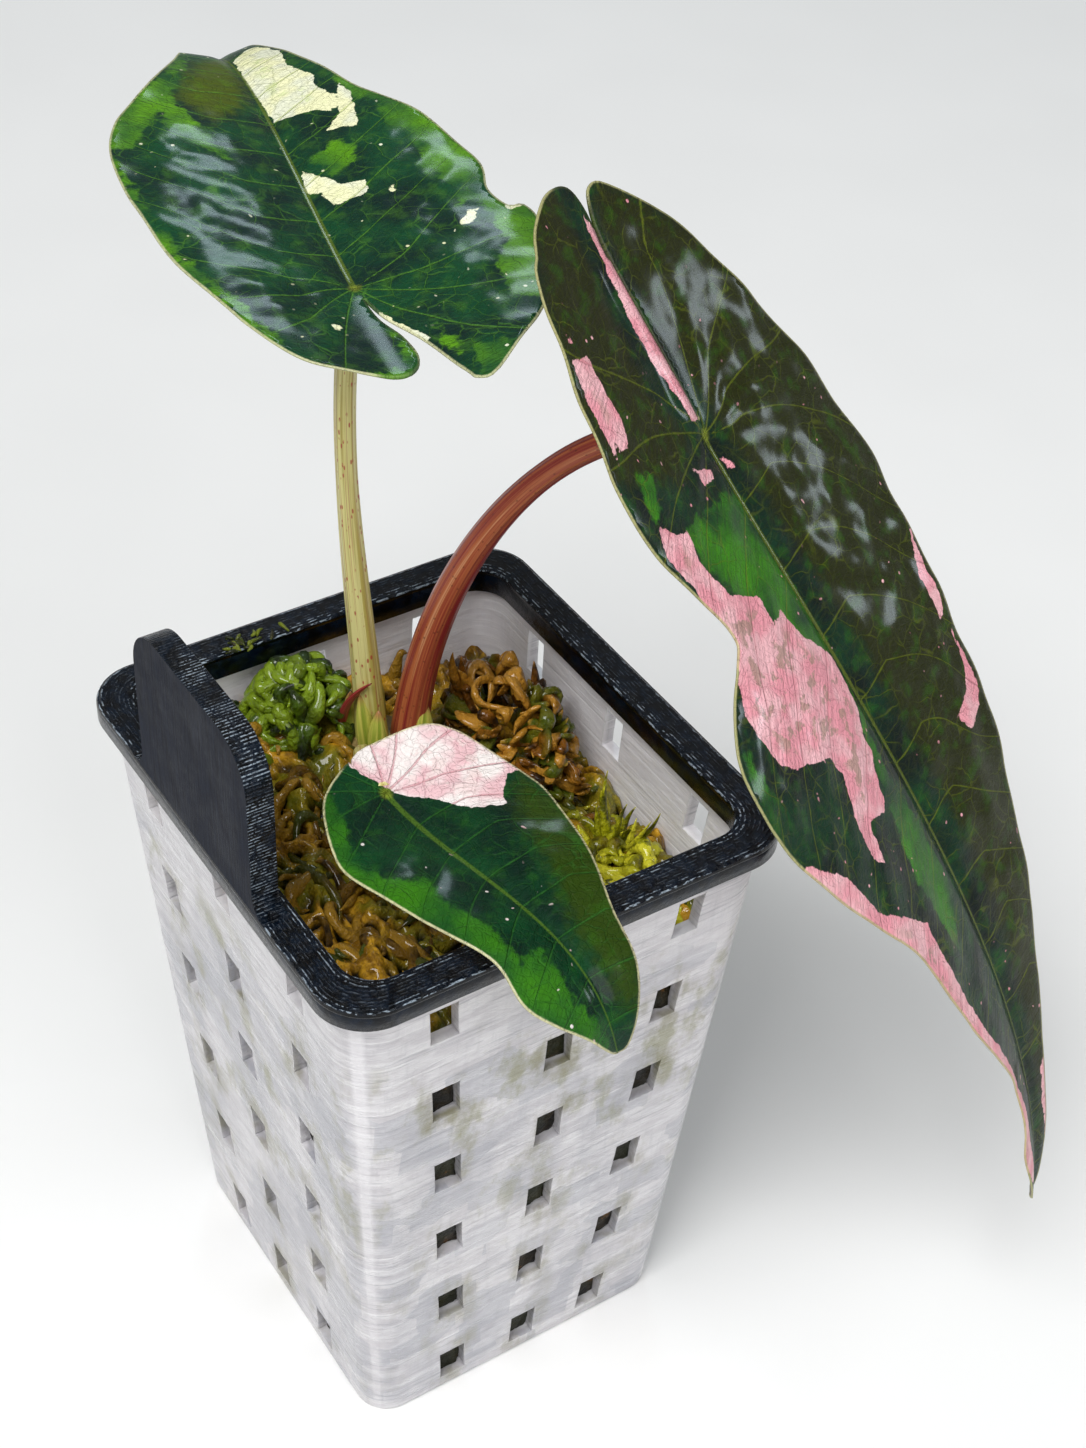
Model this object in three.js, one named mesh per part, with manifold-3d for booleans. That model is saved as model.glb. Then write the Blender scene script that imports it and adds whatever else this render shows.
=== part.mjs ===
// A variegated aroid with three arrow-shaped leaves, growing in wet moss in a tapered net pot.
// Millimetres, +Z up. The origin is the centre of the pot's underside, and the pot's label tag
// stands on the -Y side of its collar.
import * as THREE from "three";
import { mergeVertices } from "three/addons/utils/BufferGeometryUtils.js";
import Module from "manifold-3d";

const wasm = await Module();
wasm.setup();

// Driving dimensions
const POT_HEIGHT = 120;
const POT_TOP_X = 43;
const POT_TOP_Y = 39;
const POT_BASE_X = 33.5;
const POT_BASE_Y = 30.5;
const POT_CORNER = 8;
const POT_BASE_CORNER = 6;
const POT_WALL = 2.2;
const GAP = 0.3;

const HOLE_WIDTH = 5;
const HOLE_HEIGHT = 8;
const HOLE_ROWS = 6;
const HOLE_TOP_ROW = 108.4;
const HOLE_ROW_PITCH = 20.2;
const HOLE_PITCH_TOP = 24.5;
const HOLE_PITCH_BASE = 15.6;

const COLLAR_X = 45;
const COLLAR_Y = 41;
const COLLAR_CORNER = 9;
const COLLAR_WIDTH = 6;
const COLLAR_SKIRT = 4;
const COLLAR_LIP = 5;
const COLLAR_PLATE = 1.7;

const TAG_WIDTH = 37.5;
const TAG_CENTRE = -1.25;
const TAG_TOP = 150.5;
const TAG_THICKNESS = 4.5;
const TAG_CORNER = 8.5;
const TAG_FILLET = 3.5;

const LEAF_THICKNESS = 1;

// Names and colours of the surfaces
const SURFACES = {
  clear_print: { color: 0xe4e4e6, roughness: 0.35 },
  black_print: { color: 0x14181f, roughness: 0.4 },
  wet_moss: { color: 0x6e5a1e, roughness: 0.3 },
  green_moss: { color: 0x6f8c1c, roughness: 0.3 },
  brown_moss: { color: 0x84561c, roughness: 0.3 },
  root: { color: 0xc9b48a, roughness: 0.6 },
  pale_stem: { color: 0xcdc98a, roughness: 0.4 },
  red_stem: { color: 0x9c4a3c, roughness: 0.4 },
  red_sheath: { color: 0x8c2020, roughness: 0.4 },
  leaf: { color: 0x14462c, roughness: 0.25 },
};

const plant = new THREE.Group();

function add(name, geometry, surface) {
  const material = new THREE.MeshStandardMaterial({ ...SURFACES[surface], metalness: 0 });
  const mesh = new THREE.Mesh(geometry, material);
  mesh.name = name;
  plant.add(mesh);
}

// Closed mesh to solid and back
function bare(geometry) {
  const copy = geometry.clone();
  copy.deleteAttribute("normal");
  copy.deleteAttribute("uv");
  return mergeVertices(copy, 1e-4);
}

function solid(geometry) {
  const merged = bare(geometry);
  return new wasm.Manifold(new wasm.Mesh({
    numProp: 3,
    vertProperties: new Float32Array(merged.attributes.position.array),
    triVerts: new Uint32Array(merged.index.array),
  }));
}

function surfaceOf(body) {
  const mesh = body.getMesh();
  const geometry = new THREE.BufferGeometry();
  const points = new Float32Array(mesh.numVert * 3);
  for (let i = 0; i < mesh.numVert; i += 1) {
    points.set(mesh.vertProperties.subarray(i * mesh.numProp, i * mesh.numProp + 3), i * 3);
  }
  geometry.setAttribute("position", new THREE.BufferAttribute(points, 3));
  geometry.setIndex(new THREE.BufferAttribute(new Uint32Array(mesh.triVerts), 1));
  return geometry;
}

// The largest piece of a body that a cut may have split
function largest(body) {
  const pieces = body.decompose();
  return pieces.reduce((best, piece) => (piece.volume() > best.volume() ? piece : best));
}

// Moves every vertex of a geometry with a rule that takes and returns a point
function reshape(geometry, rule) {
  const merged = bare(geometry);
  const position = merged.attributes.position;
  const point = new THREE.Vector3();
  for (let i = 0; i < position.count; i += 1) {
    point.fromBufferAttribute(position, i);
    rule(point);
    position.setXYZ(i, point.x, point.y, point.z);
  }
  return merged;
}

// A turned profile made square. Each profile point is [half width along X, height, corner radius],
// and the half width along Y is smaller by the same amount all the way up.
const CORNER_STEPS = 5;
const AROUND = 4 * (CORNER_STEPS + 1);
const POT_NARROWER_Y = POT_TOP_X - POT_TOP_Y;

function squareTurned(profile) {
  const outline = profile.map(([half, height]) => new THREE.Vector2(half, height));
  const turned = new THREE.LatheGeometry(outline, AROUND);
  turned.rotateX(Math.PI / 2);
  return reshape(turned, (p) => {
    const half = Math.hypot(p.x, p.y);
    if (half < 1e-3) return;
    const away = (point) => Math.hypot(point[0] - half, point[1] - p.z);
    const [, , corner] = profile.reduce((near, point) => (away(point) < away(near) ? point : near));
    const turn = Math.round((Math.atan2(p.y, p.x) / (2 * Math.PI)) * AROUND + AROUND) % AROUND;
    const quarter = Math.floor(turn / (CORNER_STEPS + 1));
    const step = turn % (CORNER_STEPS + 1);
    const angle = (quarter + step / CORNER_STEPS) * (Math.PI / 2);
    const sideX = quarter === 0 || quarter === 3 ? 1 : -1;
    const sideY = quarter < 2 ? 1 : -1;
    p.x = sideX * (half - corner) + corner * Math.cos(angle);
    p.y = sideY * (half - POT_NARROWER_Y - corner) + corner * Math.sin(angle);
  });
}

function potHalfAt(height) {
  return POT_BASE_X + (POT_TOP_X - POT_BASE_X) * (height / POT_HEIGHT);
}

// The net pot: a tapered tub with three columns of small holes in each wall
function makeBasket() {
  const top = POT_HEIGHT - COLLAR_PLATE - GAP;
  const outer = potHalfAt;
  const inner = (height) => potHalfAt(height) - POT_WALL;
  const tub = squareTurned([
    [0, 0, 0],
    [outer(0) - 0.6, 0, POT_BASE_CORNER - 0.6],
    [outer(0), 0.6, POT_BASE_CORNER],
    [outer(top), top, POT_CORNER],
    [inner(top), top, POT_CORNER - POT_WALL],
    [inner(POT_WALL), POT_WALL, POT_BASE_CORNER - POT_WALL],
    [0, POT_WALL, 0],
  ]);
  let body = solid(tub);
  for (let row = 0; row < HOLE_ROWS; row += 1) {
    const height = HOLE_TOP_ROW - row * HOLE_ROW_PITCH;
    const pitch = HOLE_PITCH_BASE + (HOLE_PITCH_TOP - HOLE_PITCH_BASE) * (height / HOLE_TOP_ROW);
    for (const column of [-1, 0, 1]) {
      const across = new THREE.BoxGeometry(120, HOLE_WIDTH, HOLE_HEIGHT);
      across.translate(0, column * pitch * (POT_TOP_Y / POT_TOP_X), height);
      body = body.subtract(solid(across));
      const along = new THREE.BoxGeometry(HOLE_WIDTH, 120, HOLE_HEIGHT);
      along.translate(column * pitch, 0, height);
      body = body.subtract(solid(along));
    }
  }
  for (const x of [-16, 16]) {
    for (const y of [-14, 14]) {
      const drain = new THREE.BoxGeometry(5, 5, 10);
      drain.translate(x, y, 0);
      body = body.subtract(solid(drain));
    }
  }
  return surfaceOf(body);
}

// The collar: a channel pressed over the tub's edge, with the label tag standing on it
function makeCollar() {
  const potEdge = potHalfAt(POT_HEIGHT - COLLAR_PLATE);
  const inner = COLLAR_X - COLLAR_WIDTH;
  const underPlate = POT_HEIGHT - COLLAR_PLATE;
  const lip = POT_HEIGHT - COLLAR_LIP;
  const skirt = POT_HEIGHT - COLLAR_SKIRT;
  const channel = potEdge + GAP + 0.1;
  const ring = squareTurned([
    [inner, lip, POT_CORNER - POT_WALL],
    [inner + 1.1, lip, POT_CORNER - POT_WALL],
    [inner + 1.1, underPlate, POT_CORNER - POT_WALL],
    [channel, underPlate, POT_CORNER],
    [channel, skirt, POT_CORNER],
    [COLLAR_X, skirt, COLLAR_CORNER],
    [COLLAR_X, POT_HEIGHT - 0.6, COLLAR_CORNER],
    [COLLAR_X - 0.6, POT_HEIGHT, COLLAR_CORNER - 0.6],
    [inner, POT_HEIGHT, POT_CORNER - POT_WALL],
    [inner, lip, POT_CORNER - POT_WALL],
  ]);
  return surfaceOf(solid(ring).add(solid(makeTag())));
}

function makeTag() {
  const half = TAG_WIDTH / 2;
  const foot = POT_HEIGHT - 1;
  const outline = new THREE.Shape();
  outline.moveTo(-half - TAG_FILLET, foot);
  outline.lineTo(-half - TAG_FILLET, POT_HEIGHT);
  outline.quadraticCurveTo(-half, POT_HEIGHT, -half, POT_HEIGHT + TAG_FILLET);
  outline.lineTo(-half, TAG_TOP - TAG_CORNER);
  outline.quadraticCurveTo(-half, TAG_TOP, -half + TAG_CORNER, TAG_TOP);
  outline.lineTo(half - TAG_CORNER, TAG_TOP);
  outline.quadraticCurveTo(half, TAG_TOP, half, TAG_TOP - TAG_CORNER);
  outline.lineTo(half, POT_HEIGHT + TAG_FILLET);
  outline.quadraticCurveTo(half, POT_HEIGHT, half + TAG_FILLET, POT_HEIGHT);
  outline.lineTo(half + TAG_FILLET, foot);
  outline.closePath();
  const tag = new THREE.ExtrudeGeometry(outline, {
    depth: TAG_THICKNESS,
    bevelEnabled: false,
    curveSegments: 6,
  });
  tag.rotateX(Math.PI / 2);
  tag.translate(TAG_CENTRE, TAG_THICKNESS - COLLAR_Y, 0);
  return tag;
}

// Height of the moss: high at the back left, low at the right, lumpy all over
function mossHeight(x, y) {
  const slope = 103.5 - 0.1 * x - 0.14 * y;
  const lumps = 1.3 * Math.sin(x * 0.42 + 1) * Math.cos(y * 0.38) + 0.8 * Math.sin(y * 0.8 + x * 0.3);
  return slope + lumps;
}

function makeMossBed() {
  const floor = POT_WALL + GAP;
  const inner = (height) => potHalfAt(height) - POT_WALL - GAP;
  const top = 92;
  const corner = POT_CORNER - POT_WALL;
  const profile = [
    [0, floor, 0],
    [inner(floor), floor, POT_BASE_CORNER - POT_WALL],
    [inner(top), top, corner],
  ];
  for (const share of [1, 0.85, 0.7, 0.55, 0.4, 0.25]) {
    profile.push([inner(top) * share, 100 + share, corner * share]);
  }
  profile.push([0, 100, 0]);
  return reshape(squareTurned(profile), (p) => {
    if (p.z > top + 1) p.z = mossHeight(p.x, p.y);
  });
}

// A stalk along a curve, round in section, thinner from its foot to its top
const STALK_SIDES = 10;

function makeStalk(points, footRadius, topRadius, steps = 14) {
  const curve = new THREE.CubicBezierCurve3(...points.map((p) => new THREE.Vector3(...p)));
  const section = new THREE.Shape();
  section.absarc(0, 0, footRadius, 0, 2 * Math.PI);
  const tube = new THREE.ExtrudeGeometry(section, {
    steps,
    extrudePath: curve,
    bevelEnabled: false,
    curveSegments: STALK_SIDES,
  });
  const rings = curve.getSpacedPoints(steps);
  const centre = new THREE.Vector3();
  return reshape(tube, (p) => {
    let ring = 0;
    for (let i = 1; i <= steps; i += 1) {
      if (p.distanceTo(rings[i]) < p.distanceTo(rings[ring])) ring = i;
    }
    centre.copy(rings[ring]);
    const taper = 1 + (topRadius / footRadius - 1) * Math.min(1, (ring / steps) * 1.6);
    p.sub(centre).multiplyScalar(taper).add(centre);
  });
}

// The short stem in the moss, with its roots, which carries every stalk. The margin is added all
// round to make the pocket that it fills in the moss.
const STEM_X = -20;
const STEM_Y = 3.5;
const STEM_TOP = 106;
const STEM_RADIUS = 7.6;
const ROOTS = 6;

function makeStem(margin = 0) {
  const outline = [
    [0, -22], [3.5, -21], [5.5, -14], [6.8, -6], [STEM_RADIUS, -1.5], [STEM_RADIUS - 0.6, 0], [0, 0],
  ];
  const profile = outline.map(([radius, height]) => new THREE.Vector2(
    radius === 0 ? 0 : radius + margin,
    height + (height < -14 ? -margin : margin),
  ));
  const knob = new THREE.LatheGeometry(profile, 16);
  knob.rotateX(Math.PI / 2);
  knob.translate(STEM_X, STEM_Y, STEM_TOP);
  let body = solid(knob);
  for (let i = 0; i < ROOTS; i += 1) {
    const angle = (i / ROOTS) * 2 * Math.PI + 0.4;
    const out = 11 + 2 * Math.sin(i * 2.3);
    const at = (reach, drop) => [
      STEM_X + reach * Math.cos(angle),
      STEM_Y + reach * Math.sin(angle),
      STEM_TOP - drop,
    ];
    const path = [at(3, 14), at(out, 22), at(out * 0.9, 44), at(out * 0.5, 62 + margin)];
    body = body.add(solid(makeStalk(path, 1.3 + margin, 0.8 + margin, 8)));
  }
  return body;
}

// What is left free in the moss: the stem's own shape and the room straight above it
function makePocket() {
  const well = new THREE.CylinderGeometry(STEM_RADIUS + GAP, STEM_RADIUS + GAP, 20, 24);
  well.rotateX(Math.PI / 2);
  well.translate(STEM_X, STEM_Y, STEM_TOP + 8);
  return makeStem(GAP).add(solid(well));
}

// The pointed new shoot between the stalks
function makeShoot() {
  const profile = [[0, 0], [1.5, 0], [1.6, 2], [1.1, 5], [0.4, 7.5], [0, 8.2]];
  const shoot = new THREE.LatheGeometry(profile.map(([r, z]) => new THREE.Vector2(r, z)), 14);
  shoot.rotateX(Math.PI / 2);
  shoot.translate(-18.7, 0.9, STEM_TOP + GAP);
  return shoot;
}

// The dry red sheath that stands beside the upright stalk, with its tip bent outwards
function makeSheath(margin = 0) {
  const path = [[-25, -0.9, STEM_TOP - 1], [-24.6, -2.4, 112], [-24.6, -3.2, 118], [-27.6, -4.6, 117]];
  return solid(makeStalk(path, 0.8 + margin, 0.8 + margin, 10));
}

// Leaf blades. Each blade is drawn flat and bent over its midrib. spine is the midrib from the
// stalk to the tip. rows are [distance along the midrib, left edge, right edge], seen from above
// with the tip ahead, and sinus is the slit between the lobes behind the stalk, in the same way.
const BLADES = {
  leaf_blade_upright: {
    spine: [[-21, -1, 195], [-57.4, 7.4, 195.4], [-107.7, 18.9, 209.8], [-116.9, 21, 173.8]],
    fold: 16,
    curl: 0.012,
    rows: [
      [-30.3, 9.6, 12.8], [-28, 6, 15], [-25.2, -0.5, 16.8], [-24, -4.5, 17.4], [-22.5, -8.6, 18.6],
      [-16.7, -15.1, 23.6], [-8, -19.2, 26.6], [-2.6, -21, 28.4], [5.9, -23.5, 31.1],
      [10, -24.8, 29.8], [16.2, -26, 26.6], [23.8, -27.3, 26.8], [29.2, -27.8, 25.5],
      [38.7, -27.5, 22.7], [46.3, -25.6, 18.6], [55.3, -20.3, 14.3], [63.6, -14.6, 11.5],
      [73.1, -9.9, 8.2], [82, -6.4, 6.4], [92, -3.9, 4.2], [101, -1.8, 2], [108.5, -0.3, 0.3],
    ],
    sinus: [
      [-33, 0, 9.5], [-26.9, 0.3, 9.2], [-24.9, 1.8, 8.4], [-22.4, 3.5, 7.4], [-16.9, 2.8, 4.9],
      [-14, 2, 3.1],
      [-5.2, 0.4, 1.1], [-3.2, 0.2, 0.8],
    ],
  },
  leaf_blade_hanging: {
    spine: [[13, 39.5, 176], [34, 52.5, 142], [73, 77, 92], [76.5, 79, 40]],
    fold: 12,
    curl: 0.008,
    rows: [
      [-43.8, 2, 7], [-42.5, -1.5, 10], [-39, -8, 16], [-34, -13.5, 20.8], [-28, -18, 23.6],
      [-20, -22, 26.5], [-8, -26, 29.3], [3, -30, 29], [13, -32, 26.3], [21, -33.6, 24.2],
      [26, -33.2, 27], [30, -32.5, 33], [38, -31.5, 38.5], [47, -31, 39.8], [60, -29.8, 35.8],
      [74, -26.4, 28.6], [86, -22.3, 23], [97, -17.4, 20], [113, -11, 13.8], [128, -6.2, 8],
      [141, -4.4, 7.6], [151, -1.8, 5], [156.5, -0.5, 1],
    ],
    sinus: [[-48, -3.2, -0.5], [-38, -4.2, -1.2], [-30, -0.6, 1.8], [-15, -1, 3.4], [-3, -0.3, 0.9]],
  },
  leaf_blade_low: {
    spine: [[12, -15, 128], [28, -11.5, 122], [54.5, -5.5, 133.5], [61.5, -4, 110]],
    fold: 10,
    curl: 0.012,
    rows: [
      [-8, -7, -3], [-7, -10.5, 3], [-5, -13.8, 7.5], [-2, -16.6, 11.3], [3, -18, 14.4],
      [8, -18.2, 15.5], [13, -19.2, 15.7], [20, -18, 15], [28, -15.5, 13], [35, -11.7, 11.3],
      [42, -9.5, 12.2], [47, -8, 10.3], [52, -5.6, 5.4], [55.5, -3.4, 2], [57.8, -0.5, 0.4],
    ],
    sinus: [[-12, 0, 3], [-6.5, 0.9, 1.8], [-4.5, 0.9, 1.4]],
  },
};

// Left and right edge at a distance along the midrib
function edgesAt(rows, along) {
  let i = 0;
  while (i < rows.length - 2 && along > rows[i + 1][0]) i += 1;
  const [from, to] = [rows[i], rows[i + 1]];
  const share = Math.min(1, Math.max(0, (along - from[0]) / (to[0] - from[0])));
  return [from[1] + (to[1] - from[1]) * share, from[2] + (to[2] - from[2]) * share];
}

// A point of the bent blade: across is positive to the right of the midrib, above is off the skin
function bladePoint(blade, curve, length, across, along, above, target) {
  const at = Math.min(1, Math.max(0, along / length));
  const ahead = curve.getTangentAt(at);
  const right = new THREE.Vector3().crossVectors(ahead, new THREE.Vector3(0, 0, 1)).normalize();
  const up = new THREE.Vector3().crossVectors(right, ahead);
  const fold = THREE.MathUtils.degToRad(blade.fold);
  const reach = Math.abs(across);
  const bent = fold - blade.curl * reach;
  const out = (Math.sin(fold) - Math.sin(bent)) / blade.curl;
  const lift = (Math.cos(bent) - Math.cos(fold)) / blade.curl;
  target.copy(curve.getPointAt(at));
  target.addScaledVector(ahead, Math.min(0, along));
  target.addScaledVector(right, Math.sign(across) * (out - above * Math.sin(bent)));
  target.addScaledVector(up, lift + above * Math.cos(bent));
}

// A box whose across and along run over the blade, bent into place
function bendBox(blade, rows, thickness, acrossSteps, alongSteps) {
  const curve = new THREE.CubicBezierCurve3(...blade.spine.map((p) => new THREE.Vector3(...p)));
  curve.arcLengthDivisions = 400;
  const length = curve.getLength();
  const first = rows[0][0];
  const last = rows[rows.length - 1][0];
  const slab = new THREE.BoxGeometry(2, 1, thickness, acrossSteps, alongSteps, 1);
  return reshape(slab, (p) => {
    const along = first + (last - first) * (p.y + 0.5);
    const [left, right] = edgesAt(rows, along);
    let across = left + (right - left) * ((p.x + 1) / 2);
    if (left < 0 && right > 0) across = p.x < 0 ? -p.x * left : p.x * right;
    bladePoint(blade, curve, length, across, along, p.z, p);
  });
}

function makeBlade(blade) {
  const body = solid(bendBox(blade, blade.rows, LEAF_THICKNESS, 8, 44));
  const slit = solid(bendBox(blade, blade.sinus, LEAF_THICKNESS + 6, 1, 6));
  return surfaceOf(body.subtract(slit));
}

// Stalks, from inside the stem up to the midrib's start
const STALKS = {
  stalk_upright: {
    blade: BLADES.leaf_blade_upright,
    path: [[-23.4, 2.3, STEM_TOP - 1], [-20.2, -0.3, 133], [-26.7, -3.2, 165.2], [-21, -1, 195]],
    radii: [2.6, 1.7],
    surface: "pale_stem",
  },
  stalk_hanging: {
    blade: BLADES.leaf_blade_hanging,
    path: [[-21, 8.2, STEM_TOP - 1], [-16.7, 7.4, 143.4], [-4.9, 23.9, 176.2], [13, 39.5, 176]],
    radii: [2.9, 2],
    surface: "red_stem",
  },
  stalk_low: {
    blade: BLADES.leaf_blade_low,
    path: [[-15.6, -1.2, STEM_TOP - 1], [-14, -6, 118], [-1, -13, 122], [12, -15, 128]],
    radii: [1.9, 1.4],
    surface: "pale_stem",
  },
};

// A stalk cut off flat on the stem and ended just short of its blade
function makeFittedStalk(stalk) {
  const blade = solid(bendBox(stalk.blade, stalk.blade.rows, LEAF_THICKNESS + 2 * GAP, 8, 44));
  const tube = solid(makeStalk(stalk.path, ...stalk.radii)).trimByPlane([0, 0, 1], STEM_TOP + GAP);
  return surfaceOf(largest(tube.subtract(blade)));
}

// Lumps of moss that lie on the bed: centre, half sizes, and a number that varies the bumps
const CLUMPS = {
  moss_mound_green: { centre: [-31, -7, 105], radii: [9, 10, 11.5], seed: 1, surface: "green_moss" },
  moss_mound_brown: { centre: [-11, 24.5, 103], radii: [16, 9, 13], seed: 2, surface: "brown_moss" },
  moss_clump_front: { centre: [6, -19, 103], radii: [20, 12, 6.5], seed: 3, surface: "wet_moss" },
  moss_sprigs_right: { centre: [21, 27, 96], radii: [11, 7.5, 7], seed: 4, surface: "green_moss" },
};

// The room inside the pot and collar in which the lumps stay
function makeHeadspace() {
  const half = potHalfAt(92) - POT_WALL - 2 * GAP;
  const corner = POT_CORNER - POT_WALL;
  return squareTurned([[0, 90, 0], [half, 90, corner], [half, 140, corner], [0, 140, 0]]);
}

function makeClump(clump, around) {
  const [x, y, z] = clump.centre;
  const [sizeX, sizeY, sizeZ] = clump.radii;
  const ball = reshape(new THREE.IcosahedronGeometry(1, 5), (p) => {
    const bumps = 1
      + 0.07 * Math.sin(5 * p.x + clump.seed) * Math.cos(4 * p.y)
      + 0.05 * Math.sin(7 * p.z + 2 * clump.seed) * Math.cos(6 * p.x);
    p.multiplyScalar(bumps);
    p.set(x + p.x * sizeX, y + p.y * sizeY, z + p.z * sizeZ);
  });
  let body = solid(ball).intersect(solid(makeHeadspace()));
  for (const other of around) body = body.subtract(other);
  return surfaceOf(largest(body));
}

const moss = solid(makeMossBed()).subtract(makePocket());
const raisedBed = solid(makeMossBed()).translate(0, 0, GAP);
const aroundClumps = [raisedBed, makePocket(), makeSheath(GAP)];
for (const stalk of Object.values(STALKS)) {
  const [foot, top] = stalk.radii;
  aroundClumps.push(solid(makeStalk(stalk.path, foot + GAP, top + GAP)));
}

add("net_pot", makeBasket(), "clear_print");
add("collar_with_tag", makeCollar(), "black_print");
add("moss_bed", surfaceOf(moss), "wet_moss");
for (const [name, clump] of Object.entries(CLUMPS)) {
  add(name, makeClump(clump, aroundClumps), clump.surface);
}
add("stem_with_roots", surfaceOf(makeStem()), "root");
add("new_shoot", makeShoot(), "pale_stem");
add("dry_sheath", surfaceOf(makeSheath().trimByPlane([0, 0, 1], STEM_TOP + GAP)), "red_sheath");
for (const [name, stalk] of Object.entries(STALKS)) {
  add(name, makeFittedStalk(stalk), stalk.surface);
}
for (const [name, blade] of Object.entries(BLADES)) {
  add(name, makeBlade(blade), "leaf");
}

export default plant;
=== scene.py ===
"""The looks of a variegated aroid in a net pot: three leaves over wet moss.

Lengths here are millimetres, in the frame's axes, and become metres where a mesh is made.
"""

import math
import random

import bmesh
import bpy
import numpy as np
from mathutils import Matrix, Vector, geometry, noise


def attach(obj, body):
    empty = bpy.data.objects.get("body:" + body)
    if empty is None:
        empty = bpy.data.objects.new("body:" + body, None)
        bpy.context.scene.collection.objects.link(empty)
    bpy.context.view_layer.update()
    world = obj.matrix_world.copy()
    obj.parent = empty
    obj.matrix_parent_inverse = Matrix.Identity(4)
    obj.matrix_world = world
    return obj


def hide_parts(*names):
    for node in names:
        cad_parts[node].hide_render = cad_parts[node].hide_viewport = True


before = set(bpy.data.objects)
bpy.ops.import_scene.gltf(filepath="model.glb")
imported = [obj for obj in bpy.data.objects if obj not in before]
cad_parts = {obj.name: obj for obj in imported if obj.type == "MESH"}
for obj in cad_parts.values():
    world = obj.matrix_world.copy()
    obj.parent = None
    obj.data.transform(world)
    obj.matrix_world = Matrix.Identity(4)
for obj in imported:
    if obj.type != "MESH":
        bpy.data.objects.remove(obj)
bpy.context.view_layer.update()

MM = 0.001
UP = np.array([0.0, 0.0, 1.0])


# Camera, floor and light

CAMERA_PLACE = (249.763, -148.786, 376.449)
CAMERA_AZIMUTH = 55.702
CAMERA_DOWN = 40.626
CAMERA_ROLL = 2.775
CAMERA_LENS = 59.93
CAMERA_SENSOR = 36
# In metres: half the floor's side, and the place that the lamps point at
FLOOR_HALF = 30
LIGHT_TARGET = (0, 0, 0.12)


def add_camera():
    azimuth, down, roll = (math.radians(a) for a in (CAMERA_AZIMUTH, CAMERA_DOWN, CAMERA_ROLL))
    forward = Vector((
        -math.sin(azimuth) * math.cos(down),
        math.cos(azimuth) * math.cos(down),
        -math.sin(down),
    ))
    level = Vector((math.cos(azimuth), math.sin(azimuth), 0))
    upright = level.cross(forward)
    right = math.cos(roll) * level + math.sin(roll) * upright
    top = right.cross(forward)
    place = Vector(CAMERA_PLACE) * MM
    camera = bpy.data.objects.new("camera", bpy.data.cameras.new("camera"))
    camera.data.lens = CAMERA_LENS
    camera.data.sensor_width = CAMERA_SENSOR
    camera.data.clip_start = 0.01
    axes = Matrix((right, top, -forward)).transposed()
    camera.matrix_world = Matrix.Translation(place) @ axes.to_4x4()
    bpy.context.scene.collection.objects.link(camera)
    bpy.context.scene.camera = camera


def add_softbox(name, azimuth, height, distance, size, watts, warmth=(1, 1, 1)):
    """A square lamp that points at the plant. Azimuth 0 stands on the -Y side, 90 on the +X side."""
    turn, rise = math.radians(azimuth), math.radians(height)
    offset = Vector((
        math.sin(turn) * math.cos(rise),
        -math.cos(turn) * math.cos(rise),
        math.sin(rise),
    ))
    lamp = bpy.data.lights.new(name, "AREA")
    lamp.size = size
    lamp.energy = watts
    lamp.color = warmth
    holder = bpy.data.objects.new(name, lamp)
    holder.location = Vector(LIGHT_TARGET) + offset * distance
    holder.rotation_euler = offset.to_track_quat("Z", "Y").to_euler()
    bpy.context.scene.collection.objects.link(holder)


def add_floor():
    mesh = bpy.data.meshes.new("floor")
    mesh.from_pydata([(x, y, 0) for x, y in square(0, 0, FLOOR_HALF)], [], [(0, 1, 2, 3)])
    floor = bpy.data.objects.new("floor", mesh)
    bpy.context.scene.collection.objects.link(floor)
    paper = Skin("floor_paper", {"Roughness": 0.9})
    grain = paper.noise(paper.millimetres(), 0.02, detail=1)
    paper.paint(paper.mix(grain, "#f1f1f0", "#f6f6f5"))
    mesh.materials.append(paper.material)


def add_sky(strength):
    world = bpy.data.worlds.new("studio")
    world.use_nodes = True
    background = world.node_tree.nodes["Background"]
    background.inputs["Color"].default_value = (1, 1, 1, 1)
    background.inputs["Strength"].default_value = strength
    bpy.context.scene.world = world


# Materials

def srgb(code):
    """The linear colour of a hex code as a screen shows it."""
    parts = [int(code[i:i + 2], 16) / 255 for i in (1, 3, 5)]
    linear = [p / 12.92 if p <= 0.04045 else ((p + 0.055) / 1.055) ** 2.4 for p in parts]
    return (*linear, 1.0)


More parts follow.
